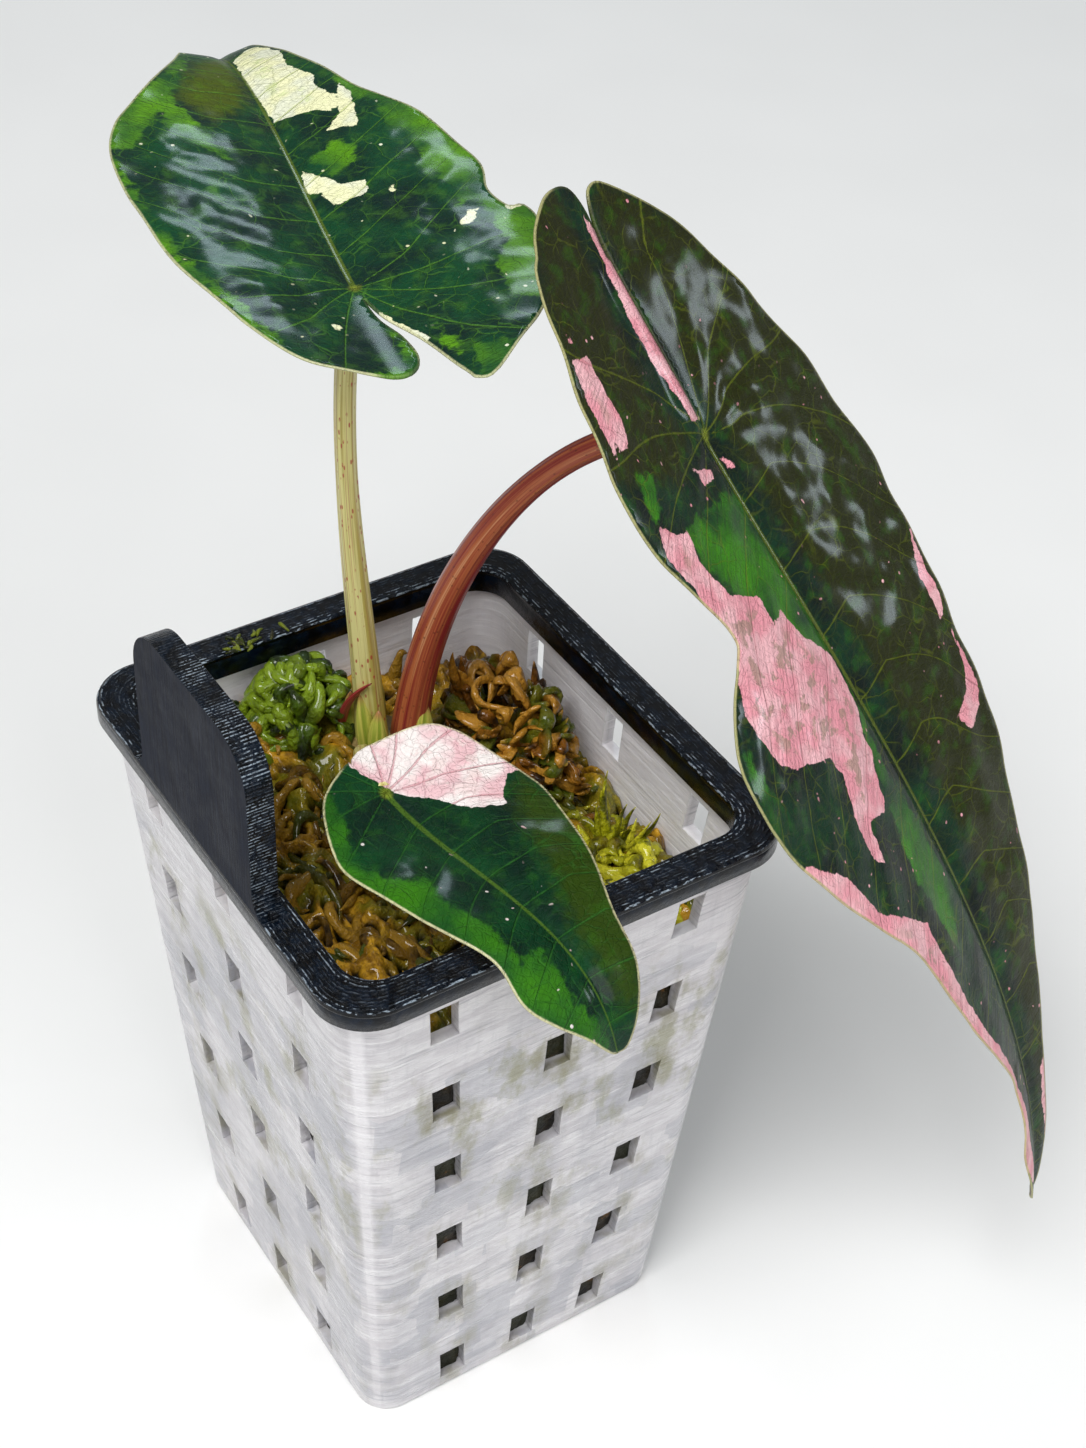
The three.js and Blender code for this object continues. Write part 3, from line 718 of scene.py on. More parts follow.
class Bundle:
    """Round tubes collected into one mesh. Each point keeps where it is around and along its tube,
    and each tube its own random lot."""

    def __init__(self):
        self.vertices, self.faces = [], []
        self.place, self.lot = [], []
        self.count = 0

    def add_tube(self, path, radii, sides=8, lot=0.5, ribs=0, rib_depth=0.0, flat=1.0):
        path, radii = np.asarray(path, float), np.asarray(radii, float)
        rings = len(path)
        ahead = unit(np.gradient(path, axis=0))
        start = np.array([1.0, 0.0, 0.0]) if abs(ahead[0][0]) < 0.8 else UP
        side = unit(np.cross(ahead[0], start))
        angles = np.arange(sides) / sides * 2 * math.pi
        bulge = 1 + rib_depth * np.cos(ribs * angles)
        cos, sin = np.cos(angles), np.sin(angles)
        run = np.concatenate([[0], np.cumsum(np.linalg.norm(np.diff(path, axis=0), axis=1))])
        for centre, forward, radius, way in zip(path, ahead, radii, run):
            side = unit(side - forward * np.dot(side, forward))
            other = np.cross(forward, side)
            out_side, out_other = cos * radius * bulge, sin * radius * bulge * flat
            self.vertices.append(centre + out_side[:, None] * side + out_other[:, None] * other)
            self.place.append(np.column_stack([cos * radii[0], sin * radii[0], np.full(sides, way)]))
        self.vertices.append(np.array([path[0], path[-1]]))
        self.place.append(np.array([[0, 0, 0], [0, 0, run[-1]]]))
        last = self.count + (rings - 1) * sides
        for base in range(self.count, last, sides):
            self.faces += band(base, base + sides, sides)
        self.faces += flipped(fan(self.count, sides, last + sides)) + fan(last, sides, last + sides + 1)
        added = rings * sides + 2
        along = np.concatenate([np.repeat(run / max(run[-1], 1e-9), sides), [0, 1]])
        self.lot.append(np.column_stack([np.full(added, lot), along, np.full(added, radii.max())]))
        self.count += added

    def piece(self, name, skin, slot, nodes):
        return mesh_object(
            name, np.vstack(self.vertices), self.faces, [skin], nodes,
            {"tube": np.vstack(self.place), "lot": np.vstack(self.lot)},
        )


STALKS = {
    "upright": {
        "path": [(-23.4, 2.3, 103), (-20.2, -0.3, 133), (-26.7, -3.2, 165.2), (-21, -1, 195)],
        "radii": (2.7, 1.7),
        "slot": "pale_stem",
    },
    "hanging": {
        "path": [(-21, 8.2, 103), (-16.7, 7.4, 143.4), (-4.9, 23.9, 176.2), (13, 39.5, 176)],
        "radii": (3.1, 2.0),
        "slot": "red_stem",
    },
    "low": {
        "path": [(-15.6, -1.2, 103), (-14, -6, 118), (-1, -13, 122), (12, -15, 128)],
        "radii": (1.9, 1.3),
        "slot": "pale_stem",
    },
}
# How far the midrib's rounded back stands out below the blade
RIB_DEPTH_BELOW = 0.35


def make_stalk(name, stalk, leaf, skin):
    """A ribbed stalk that runs on under the blade as its midrib."""
    foot, top = stalk["radii"]
    share = np.linspace(0, 0.978, 46)
    radii = foot + (top - foot) * np.minimum(1, share * 1.6)
    radii *= 1 + 0.1 * np.exp(-(share * 14) ** 2)
    bundle = Bundle()
    bundle.add_tube(bezier(stalk["path"], share), radii, sides=40, ribs=9, rib_depth=0.035)
    blade = Blade(leaf)
    along = np.linspace(-1, blade.length * 0.97, 60)
    ends = np.clip(along / blade.length, 0, 1)
    thin = top * 0.95 * (1 - ends) ** 0.8 + 0.12
    below = -0.055 * leaf["pitch"] - RIB_DEPTH_BELOW - thin * 0.85
    bundle.add_tube(blade.place(np.zeros(60), along, below), thin, sides=14)
    return bundle.piece("stalk_" + name, skin, stalk["slot"], ["stalk_" + name])


def pale_stalk_skin():
    """Pale yellow-green, with long grooves, a thin red line and small red spots."""
    skin = Skin("pale_stalk", {"IOR": 1.42, "Coat Weight": 0.2, "Coat Roughness": 0.2})
    tube = skin.attribute("tube")
    _, share, _ = skin.split(skin.attribute("lot"))
    stripes = skin.noise(tube, (1.1, 1.1, 0.02), detail=4, roughness=0.6)
    colour = skin.mix(skin.rise(stripes, 0.42, 0.6), "#e4dd96", "#b9a95a")
    colour = skin.tint(colour, "#b4b648", skin.fall(share, 0.0, 0.25), 0.8)
    fine = skin.rise(skin.noise(tube, (2.6, 2.6, 0.03), detail=2), 0.58, 0.64)
    colour = skin.tint(colour, "#b06a4c", fine, 0.6)
    spots = skin.cells(skin.stretch(tube, (1, 1, 0.5)), 1.05)
    spots = skin.times(skin.fall(spots, 0.2, 0.3), skin.rise(skin.noise(tube, 0.3), 0.46, 0.55))
    colour = skin.tint(colour, "#b03a34", spots, 0.85)
    skin.paint(colour)
    skin.polish(0.38)
    skin.emboss(stripes, 0.35, 0.8)
    return skin.material


def red_stalk_skin():
    """Red-brown, with dark red stripes and one pale rib along it."""
    skin = Skin("red_stalk", {"IOR": 1.42, "Coat Weight": 0.25, "Coat Roughness": 0.2})
    tube = skin.attribute("tube")
    stripes = skin.noise(tube, (0.9, 0.9, 0.012), detail=4, roughness=0.6)
    fine = skin.noise(tube, (3.2, 3.2, 0.05), detail=3)
    colour = skin.mix(skin.rise(stripes, 0.4, 0.54), "#b8683f", "#963c2e")
    colour = skin.tint(colour, "#7c1626", skin.rise(stripes, 0.54, 0.58), 0.85)
    colour = skin.tint(colour, "#d8a078", skin.fall(stripes, 0.34, 0.4), 0.7)
    colour = skin.tint(colour, "#7c2c28", skin.rise(fine, 0.55, 0.7), 0.35)
    speck = skin.times(skin.fall(skin.cells(tube, 0.7), 0.12, 0.2), 0.5)
    colour = skin.tint(colour, "#3f1616", speck)
    skin.paint(colour)
    skin.polish(0.36)
    skin.emboss(skin.plus(stripes, skin.times(fine, 0.4)), 0.4, 0.8)
    return skin.material


def sheath_skin(name, coat, coat_roughness, grooves, dark, light, roughness, tip=None):
    """Striped plant skin. A tip tone colours the far end of each tube."""
    skin = Skin(name, {"IOR": 1.42, "Coat Weight": coat, "Coat Roughness": coat_roughness})
    stripes = skin.noise(skin.attribute("tube"), grooves, detail=3)
    colour = skin.mix(skin.rise(stripes, 0.35, 0.65), dark, light)
    if tip:
        _, share, _ = skin.split(skin.attribute("lot"))
        colour = skin.tint(colour, tip, skin.rise(share, 0.8, 1.0))
    skin.paint(colour)
    skin.polish(roughness)
    skin.emboss(stripes, 0.3)
    return skin.material


SHEATH_PATH = [(-25.5, -1.5, 105.5), (-25.2, -3.4, 111), (-22.4, -3.2, 117), (-19.3, 0, 120.8)]
SHOOT_PATH = [(-18.7, 0.9, 103), (-18.6, 0.8, 107), (-18.8, 0.7, 111), (-18.6, 1, 115)]
WRAP_PATHS = [
    [(-25.4, 4.2, 101), (-26.6, 4.8, 108), (-26.2, 4.6, 113), (-25.2, 3.4, 119)],
    [(-21.2, 0.8, 101), (-19.9, -0.2, 107), (-20.3, -0.8, 112), (-21.6, -0.9, 118)],
    [(-24.2, 0.0, 101), (-25.6, -0.9, 107), (-25.2, -1.3, 111), (-24.4, -1.2, 116)],
    [(-17.6, 8.6, 101), (-16.6, 8.8, 106), (-16.9, 8.6, 110), (-17.2, 9.4, 114)],
]


def make_sheath():
    """The dry red sheath: a thin pointed strip across the foot of the upright stalk."""
    share = np.linspace(0, 1, 30)
    radii = 1.05 * np.sin(math.pi * (0.12 + 0.86 * share)) ** 0.6
    bundle = Bundle()
    bundle.add_tube(bezier(SHEATH_PATH, share), radii, sides=16, flat=0.5)
    skin = sheath_skin("red_sheath", 0.2, 0.25, (2.4, 2.4, 0.08), "#7c1a22", "#b04540", 0.35)
    return bundle.piece("dry_sheath", skin, "red_sheath", ["dry_sheath"])


def make_shoot():
    """The pointed new shoot and the green sheaths that wrap the feet of the stalks."""
    bundle = Bundle()
    share = np.linspace(0, 1, 26)
    point = np.sin(math.pi * np.clip(0.18 + 0.82 * share, 0, 1)) ** 0.7
    bundle.add_tube(bezier(SHOOT_PATH, share), 1.7 * point + 0.05, sides=20)
    for i, wrap in enumerate(WRAP_PATHS):
        bundle.add_tube(bezier(wrap, share), 1.9 * point + 0.04, sides=18, flat=0.45, lot=i / 4)
    skin = sheath_skin(
        "new_shoot", 0.3, 0.2, (1.6, 1.6, 0.05), "#8a9a34", "#c6c25c", 0.34, tip="#a8744a",
    )
    return bundle.piece("new_shoot", skin, "pale_stem", ["new_shoot"])


# Moss

def moss_height(x, y):
    """The top of the moss bed, with a hollow behind the stalks."""
    lumps = 1.3 * math.sin(x * 0.42 + 1) * math.cos(y * 0.38) + 0.8 * math.sin(y * 0.8 + x * 0.3)
    hollow = 6 * math.exp(-((x + 32) / 8) ** 2 - ((y - 20) / 14) ** 2)
    return 103.5 - 0.1 * x - 0.14 * y + lumps - hollow


def inside_pot(point, margin):
    """The point, moved inwards where it would touch the pot's inner wall."""
    half_x, half_y, corner = pot_size(min(point[2], POT_EDGE))
    room_x, room_y = half_x - POT_WALL - margin, half_y - POT_WALL - margin
    x = min(room_x, max(-room_x, point[0]))
    y = min(room_y, max(-room_y, point[1]))
    radius = max(corner - POT_WALL - margin, 1)
    dx, dy = abs(x) - (room_x - radius), abs(y) - (room_y - radius)
    reach = math.hypot(dx, dy)
    if dx > 0 and dy > 0 and reach > radius:
        x = math.copysign(room_x - radius + dx * radius / reach, x)
        y = math.copysign(room_y - radius + dy * radius / reach, y)
    return np.array([x, y, point[2]])


def on_bed(point, height):
    return np.array([point[0], point[1], moss_height(point[0], point[1]) + height])


def on_mound(centre, radii):
    """A rule that puts a point on a lump of moss with that centre and half sizes, at a height."""
    centre, radii = np.array(centre, float), np.array(radii, float)

    def rule(point, height):
        away = (point - centre) / radii
        away[2] = max(away[2], -0.75)
        away = away / max(np.linalg.norm(away), 1e-6)
        return centre + away * (radii + height)

    return rule


def strand_path(rng, rule, start, length, curl, lift, step=0.75):
    """A winding path over a surface, which dips into it and rises out of it."""
    heading = np.array([rng.gauss(0, 1), rng.gauss(0, 1), rng.gauss(0, 0.6)])
    phase, waves = rng.uniform(0, 6.3), rng.uniform(0.7, 1.6)
    turn = rng.gauss(0, curl)
    point = np.array(start, float)
    path = []
    count = max(6, round(length / step))
    for i in range(count):
        share = i / (count - 1)
        height = lift * (math.sin(phase + waves * 2 * math.pi * share) * 0.8 - 0.1)
        placed = rule(point, height)
        path.append(inside_pot(placed, 1.2))
        turn += rng.gauss(0, curl * 0.5)
        turn *= 0.92
        cos, sin = math.cos(turn * step), math.sin(turn * step)
        heading = np.array([
            heading[0] * cos - heading[1] * sin,
            heading[0] * sin + heading[1] * cos,
            heading[2] * 0.9 + rng.gauss(0, 0.25),
        ])
        point = placed + unit(heading) * step
    return smoothed(np.array(path))


def smoothed(path):
    for _ in range(2):
        path[1:-1] = (path[:-2] + 2 * path[1:-1] + path[2:]) / 4
    return path


def strand_radii(rng, count, radius, beads):
    share = np.linspace(0, 1, count)
    body = np.sin(math.pi * (0.02 + 0.97 * share)) ** 0.7
    knots = 1 + 0.16 * np.sin(share * beads * 2 * math.pi + rng.uniform(0, 6))
    return radius * body * knots


def make_strands(name, slot, skin, groups, nodes, seed):
    """Wet strands of moss. Each group is (number, starts, rule, length, radius, curl, lift) and,
    for ribbons, how flat they are."""
    rng = random.Random(seed)
    bundle = Bundle()
    for number, starts, rule, lengths, radii, curl, lift, *flats in groups:
        for _ in range(number):
            length = rng.uniform(*lengths)
            path = strand_path(rng, rule, starts(rng), length, curl, lift)
            radius = rng.uniform(*radii)
            flat = flats[0] if flats else 0.85
            bundle.add_tube(
                path, strand_radii(rng, len(path), radius, length / 4.5),
                lot=rng.random(), flat=flat * rng.uniform(0.85, 1.15),
            )
    return bundle.piece(name, skin, slot, nodes)


def scatter(low_x, high_x, low_y, high_y):
    """A rule that draws places on the bed inside a rectangle."""
    def start(rng):
        x, y = rng.uniform(low_x, high_x), rng.uniform(low_y, high_y)
        return inside_pot(np.array([x, y, moss_height(x, y)]), 2)
    return start


def scatter_on(centre, radii):
    """A rule that draws places on the upper side of a lump of moss."""
    def start(rng):
        away = unit(np.array([rng.gauss(0, 1), rng.gauss(0, 1), abs(rng.gauss(0, 1)) - 0.25]))
        return np.array(centre) + away * np.array(radii)
    return start


def lump(centre, radii):
    """The rules of a lump of moss: where its strands start, and where they run."""
    return scatter_on(centre, radii), on_mound(centre, radii)


def moss_skin(name, tones, wetness=0.6):
    """Wet moss, with tones that change from strand to strand."""
    skin = Skin(name, {
        "IOR": 1.4, "Coat Weight": wetness, "Coat Roughness": 0.06, "Roughness": 0.35,
        "Specular IOR Level": 0.25,
    })
    lot, share, _ = skin.split(skin.attribute("lot"))
    place = skin.millimetres()
    mottle = skin.noise(place, 0.3, detail=4, roughness=0.6)
    broad = skin.noise(place, 0.07, detail=2)
    dark, main, light, odd = tones
    colour = skin.mix(skin.rise(mottle, 0.36, 0.6), dark, main)
    pick = skin.plus(lot, skin.times(skin.minus(broad, 0.5), 1.4))
    colour = skin.tint(colour, light, skin.rise(pick, 0.5, 0.75), 0.7)
    colour = skin.tint(colour, odd, skin.fall(pick, 0.12, 0.3), 0.75)
    colour = skin.tint(colour, light, skin.rise(skin.gap(share, 0.5), 0.4, 0.5), 0.5)
    skin.paint(colour)
    wrinkle = skin.noise(place, 0.9, detail=4, roughness=0.6)
    skin.emboss(skin.plus(wrinkle, mottle), 1.1, 0.9)
    return skin.material


# How far the bed's body lies below the top of the moss, and its spacing of points and rings
CORE_DEPTH = 6.6
BED_STEP = 1.3
BED_LEVELS = 66
BED_RINGS = 44


def pressed_out(x, y, height):
    """A point of the bed's side, lumpy, and pushed out where it faces a hole of the pot."""
    bump = 0.7 * noise.noise(Vector((x, y, height)) / 2.6)
    bump += 0.35 * noise.noise(Vector((x, y, height)) / 1.2)
    aside, above, _, on_side = hole_place(x, y, height)
    in_hole = aside < -0.45 and above < -0.45
    push = 0.9 + bump if in_hole else min(0, bump - 0.4)
    if on_side:
        return x + math.copysign(push, x), y, height
    return x, y + math.copysign(push, y), height


def make_bed():
    """The body of the moss under its web: lumpy at the pot's wall, and pressed out into the holes."""
    inset = POT_WALL + 0.3
    bottom = POT_WALL + 0.4
    vertices = []
    for level in range(BED_LEVELS):
        height = bottom + level * BED_STEP
        room_x, room_y, radius = (size - inset for size in pot_size(height))
        ring = rounded_ring(room_x, room_y, radius, BED_STEP)
        vertices += [pressed_out(x, y, height) for x, y in ring]
    for step in range(1, BED_RINGS):
        share = 1 - step / BED_RINGS
        ring = rounded_ring(room_x * share, room_y * share, max(radius * share, 0.1), BED_STEP)
        vertices += [(x, y, moss_height(x, y) - CORE_DEPTH) for x, y in ring]
    around = len(ring)
    last = len(vertices) - around
    faces = []
    for first in range(0, last, around):
        faces += band(first, first + around, around)
    centre = len(vertices)
    vertices += [(0, 0, bottom), (0, 0, moss_height(0, 0) - CORE_DEPTH)]
    faces += flipped(fan(0, around, centre)) + fan(last, around, centre + 1)
    return mesh_object("moss_core", vertices, faces, [bed_skin()], ["moss_bed"])


def bed_skin():
    """Moss deep in the pot: painted shade, near black, mottled with olive and brown tones of the moss's
    own.
    """
    skin = Skin("bed_of_moss", {
        "IOR": 1.4, "Coat Weight": 0.15, "Coat Roughness": 0.15, "Roughness": 0.6,
        "Specular IOR Level": 0.3,
    })
    place = skin.millimetres()
    mottle = skin.noise(place, 0.22, detail=5, roughness=0.65)
    broad = skin.noise(place, 0.06, detail=2)
    # Painted shade: the deep moss is painted near black; the olive and brown mottles are its own tones.
    colour = skin.mix(skin.rise(mottle, 0.4, 0.62), "#080602", "#261d07")
    colour = skin.tint(colour, "#252c09", skin.rise(broad, 0.45, 0.6), 0.5)
    skin.paint(skin.tint(colour, "#7a5220", skin.rise(mottle, 0.62, 0.7), 0.6))
    skin.emboss(skin.noise(place, 0.8, detail=4, roughness=0.65), 1.4, 1.0)
    return skin.material


# The web's spacing of points, the usual width of its gaps, and the height that its outline is from
NET_STEP = 0.42
NET_CELL = 4.2
NET_LEVEL = 100


def net_heights(points, rng):
    """Moss strands that branch and join round dark gaps: 1 on a strand, falling to 0 in a gap."""
    low, high = points.min(axis=0) - NET_CELL, points.max(axis=0) + NET_CELL
    seeds = np.array([
        (x + rng.uniform(-0.42, 0.42) * NET_CELL, y + rng.uniform(-0.42, 0.42) * NET_CELL)
        for x in np.arange(low[0], high[0], NET_CELL)
        for y in np.arange(low[1], high[1], NET_CELL * 0.8)
    ])
    swirl = np.stack([wave_noise(points, 4.5, 3.1), wave_noise(points, 4.5, 8.7)], axis=1)
    fine = np.stack([wave_noise(points, 1.7, 1.3), wave_noise(points, 1.7, 5.9)], axis=1)
    warped = points + 2.6 * swirl + 0.7 * fine
    nearest = np.full(len(points), np.inf)
    second = np.full(len(points), np.inf)
    for seed in seeds:
        away = np.hypot(*(warped - seed).T)
        second = np.where(away < nearest, nearest, np.minimum(second, away))
        nearest = np.minimum(nearest, away)
    width = 1.2 + 0.5 * wave_noise(points, 5, 4.4)
    share = np.clip(1 - ((second - nearest) / 2 / width) ** 2, 0, 1)
    return np.sqrt(share)


def make_net():
    """The web of wet strands over the bed, with the gaps sunk into the dark."""
    rng = random.Random(31)
    room_x, room_y = (half - POT_WALL - 0.4 for half in pot_size(NET_LEVEL)[:2])
    columns, rows = int(2 * room_x / NET_STEP), int(2 * room_y / NET_STEP)
    xs = [-room_x + 2 * room_x * i / columns for i in range(columns + 1)]
    ys = [-room_y + 2 * room_y * j / rows for j in range(rows + 1)]
    level = np.array([inside_pot((x, y, NET_LEVEL), 0.4)[:2] for y in ys for x in xs])
    web = net_heights(level, rng)
    bed = np.array([moss_height(x, y) for x, y in level])
    swell = 1.8 * wave_noise(level, 7, 2.2) + 0.5 * wave_noise(level, 1.1, 6.1) * web
    top = bed - 3.8 + 4.2 * web + swell
    count = len(level)
    upper = np.column_stack([level, top])
    lower = np.column_stack([level, np.minimum(top - 0.5, bed - 7)])
    wide = columns + 1
    corners = [j * wide + i for j in range(rows) for i in range(columns)]
    faces = [(a, a + 1, a + 1 + wide, a + wide) for a in corners]
    faces += flipped(faces, count)
    border = [*range(columns), *range(columns, rows * wide, wide)]
    border += [*range(rows * wide + columns, rows * wide, -1), *range(rows * wide, 0, -wide)]
    for start, end in zip(border, border[1:] + border[:1]):
        faces.append((start, start + count, end + count, end))
    tones = np.column_stack([web, wave_noise(level, 9, 7.3), np.zeros(count)])
    return mesh_object(
        "moss_web", np.vstack([upper, lower]), faces, [web_skin()], ["moss_bed"],
        {"web": np.tile(tones, (2, 1))},
    )


def web_skin():
    """Amber and green wet strands, with painted shade, near black, in the gaps between them."""
    skin = Skin("web_of_moss", {
        "IOR": 1.4, "Coat Weight": 0.6, "Coat Roughness": 0.05, "Roughness": 0.35,
        "Specular IOR Level": 0.25,
    })
    strand, tone, _ = skin.split(skin.attribute("web"))
    place = skin.millimetres()
    mottle = skin.noise(place, 0.35, detail=4, roughness=0.6)
    broad = skin.noise(place, 0.09, detail=2)
    colour = skin.mix(skin.rise(mottle, 0.36, 0.62), "#6e4c06", "#cc9a24")
    colour = skin.tint(colour, "#6c7612", skin.rise(broad, 0.46, 0.6), 0.7)
    colour = skin.tint(colour, "#34440e", skin.rise(tone, 0.1, 0.5), 0.5)
    # Painted shade: the gaps between the strands are painted near black.
    skin.paint(skin.tint(colour, "#050401", skin.fall(strand, 0.45, 0.95)))
    skin.emboss(skin.noise(place, 1.0, detail=4, roughness=0.6), 1.0, 0.9)
    return skin.material


# The dark, main, light and odd colours of each kind of moss
AMBER = ("#221402", "#6a4c0a", "#b08626", "#424e0c")
BROWN = ("#281602", "#7c4c0c", "#cc9432", "#52620e")
GREEN = ("#0e1803", "#40580a", "#86a01e", "#20340a")
LIME = ("#4a4c06", "#a8a812", "#eee83a", "#6a5a10")
OLIVE = ("#171c05", "#3d470e", "#77821c", "#2b2408")

# Each tuft is a foot, the tip of its longest shoot and its number of shoots
LIME_TUFTS = [
    ((13, 26, 98), (9.5, 28.5, 111), 6), ((16, 29, 98), (20.8, 31.5, 109), 5),
    ((15, 29, 98), (14, 31.5, 105), 6), ((26, 28, 96), (28, 30, 102), 6),
]
BROWN_TUFTS = [
    ((-21.5, 19, 109), (-19.4, 15.8, 121), 3), ((-15, 29, 108), (-16.8, 30.5, 115), 5),
    ((2, 28, 101), (6, 28, 105), 5),
]
GREEN_TUFTS = [
    ((-24, -10, 112), (-20.5, -13.2, 106), 3), ((-30, -14, 112), (-28, -18, 106), 4),
    ((-33, -5, 114), (-33, -7, 119.5), 5),
]


def make_moss():
    make_bed()
    amber = moss_skin("amber_moss", AMBER)
    brown = moss_skin("brown_moss", BROWN)
    green = moss_skin("green_moss", GREEN)
    lime = moss_skin("lime_moss", LIME)
    make_net()
    make_strands("moss_strands_low", "wet_moss", amber, [
        (70, scatter(-37, 37, -33, 33), on_bed, (12, 26), (0.7, 1.2), 0.3, 1.3),
    ], ["moss_bed"], 11)
    front = lump((6, -19, 101), (20, 12, 4.5))
    make_strands("moss_strands_front", "wet_moss", amber, [
        (34, *front, (14, 28), (0.9, 1.5), 0.28, 1.6),
        (30, scatter(-34, 4, -33, -8), on_bed, (14, 26), (0.9, 1.6), 0.28, 2.0),
    ], ["moss_clump_front"], 12)
    mound = lump((-31, -7.5, 107), (7.5, 9, 11.5))
    make_strands("moss_mound_green", "green_moss", green, [
        (95, *mound, (12, 24), (0.8, 1.6), 0.3, 1.7),
        (26, scatter(-40, -24, -28, -2), on_bed, (10, 20), (0.7, 1.3), 0.3, 2.0),
    ], ["moss_mound_green"], 13)
    heap = lump((-13, 24, 103.5), (15, 7.5, 12))
    make_strands("moss_mound_brown", "brown_moss", brown, [
        (105, *heap, (6, 15), (0.9, 2.1), 0.8, 2.6, 0.45),
        (26, scatter(-22, 10, 10, 30), on_bed, (7, 14), (0.8, 1.5), 0.5, 2.0),
    ], ["moss_mound_brown"], 14)
    right = lump((21, 27, 96), (9.5, 6, 5.5))
    make_strands("moss_right", "green_moss", lime, [
        (70, *right, (5, 11), (0.9, 1.5), 0.5, 1.4),
        (60, scatter(8, 37, 8, 34), on_bed, (5, 11), (0.8, 1.3), 0.4, 1.6),
    ], ["moss_sprigs_right"], 15)
    rng = random.Random(21)
    for name, tufts, width, skin, slot, node in [
        ("moss_sprigs", LIME_TUFTS, 0.75, lime, "green_moss", "moss_sprigs_right"),
        ("moss_spikes", BROWN_TUFTS, 1.1, brown, "brown_moss", "moss_mound_brown"),
        ("moss_drops", GREEN_TUFTS, 1.7, green, "green_moss", "moss_mound_green"),
    ]:
        bundle = Bundle()
        for foot, tip, number in tufts:
            add_tuft(bundle, rng, foot, tip, number, width)
        bundle.piece(name, skin, slot, [node])
    make_bits(rng)


def add_tuft(bundle, rng, foot, tip, number, width):
    """Thin pointed shoots that spread from one foot. The first one reaches the tip."""
    foot, tip = np.array(foot, float), np.array(tip, float)
    share = np.linspace(0, 1, 14)
    taper = np.sin(math.pi * np.clip(0.35 + 0.64 * share, 0, 1)) ** 0.8
    for i in range(number):
        spread = np.array([rng.gauss(0, 1.2), rng.gauss(0, 1.2), 0])
        reach = rng.uniform(0.4, 0.85) if i else 1
        end = foot + (tip - foot) * reach + spread * (1.1 if i else 0)
        bend = (foot + end) / 2 + np.array([rng.gauss(0, 0.8), rng.gauss(0, 0.8), 0.6])
        path = bezier([foot + spread * 0.6, (foot + bend) / 2 + spread * 0.4, bend, end], share)
        path = np.array([inside_pot(point, 0.8) for point in path])
        bundle.add_tube(path, width * taper + 0.03, lot=rng.uniform(0.3, 1), flat=0.6)


def make_bits(rng):
    """Thin crumbs of moss that lie on the collar's inner edge beside the green mound."""
    olive = moss_skin("olive_moss", OLIVE, wetness=0.4)
    share = np.linspace(0, 1, 9)
    crumbs = Bundle()
    for x, y in [(-41.5, -14), (-40.3, -12), (-39.4, -16), (-39.6, -9), (-39.3, -13)]:
        for _ in range(4):
            angle = rng.uniform(0, 2 * math.pi)
            reach = rng.uniform(1.2, 2.8)
            start = np.array([x + rng.gauss(0, 0.6), y + rng.gauss(0, 1.2), POT_HEIGHT + 0.3])
            end = start + np.array([reach * math.cos(angle), reach * math.sin(angle), 0.1])
            middle = (start + end) / 2 + np.array([rng.gauss(0, 0.5), rng.gauss(0, 0.5), 0.4])
            path = bezier([start, middle, middle, end], share)
            width = 0.34 * np.sin(math.pi * (0.1 + 0.85 * share)) ** 0.6
            crumbs.add_tube(path, width, lot=rng.random())
    crumbs.piece("moss_bits", olive, "green_moss", ["moss_mound_green"])


def dress_stem():
    """The stem's own frame part stays, with the skin of a damp stem and its roots."""
    skin = Skin("damp_stem", {"Roughness": 0.45, "IOR": 1.42})
    place = skin.millimetres()
    rings = skin.noise(place, (0.3, 0.3, 1.4), detail=4, roughness=0.6)
    colour = skin.mix(skin.rise(rings, 0.35, 0.65), "#6d5a34", "#a48f5c")
    skin.paint(colour)
    skin.emboss(rings, 0.6)
    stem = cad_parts["stem_with_roots"]
    stem.data.materials.clear()
    stem.data.materials.append(skin.material)


# Pot and collar

POT_HEIGHT = 120
POT_TOP_X = 43
POT_BASE_X = 33.5
POT_NARROWER_Y = 4
POT_BASE_NARROWER_Y = 3
POT_CORNER = 8
POT_BASE_CORNER = 6
POT_WALL = 2.2
POT_EDGE = 118
HOLE_WIDTH = 5
HOLE_HEIGHT = 8
HOLE_ROWS = [108.4 - 20.2 * row for row in range(6)]
HOLE_PITCH_TOP = 24.5
HOLE_PITCH_BASE = 15.6
SIDE_PITCH_SHARE = (POT_TOP_X - POT_NARROWER_Y) / POT_TOP_X
DRAINS = [(x, y) for x in (-16, 16) for y in (-14, 14)]
DRAIN_HALF = 2.5
RIM_ROUND = 0.4
FOOT_ROUND = 0.6
# Points round each of the pot's corners, and on each of the spans that hole edges cut a wall into
CORNER_STEPS = 9
SPAN_STEPS = 5
SPANS = 7
# The number of each point of a ring on its wall, or -1 on a corner
STATIONS = ([*range(SPANS * SPAN_STEPS)] + [-1] * CORNER_STEPS) * 4


def pot_size(height):
    """Half width along X and Y and corner radius of the pot's outside at a height."""
    share = height / POT_HEIGHT
    half_x = POT_BASE_X + (POT_TOP_X - POT_BASE_X) * share
    narrower = POT_BASE_NARROWER_Y + (POT_NARROWER_Y - POT_BASE_NARROWER_Y) * share
    corner = POT_BASE_CORNER + (POT_CORNER - POT_BASE_CORNER) * share
    return half_x, half_x - narrower, corner


def wall_places(half, corner, pitch):
    """Places across one wall: its two ends, the edges of its three holes, and steps between them."""
    breaks = [-(half - corner)]
    for column in (-1, 0, 1):
        breaks += [column * pitch - HOLE_WIDTH / 2, column * pitch + HOLE_WIDTH / 2]
    breaks.append(half - corner)
    found = []
    for start, end in zip(breaks, breaks[1:]):
        found += [start + (end - start) * i / SPAN_STEPS for i in range(SPAN_STEPS)]
    return found


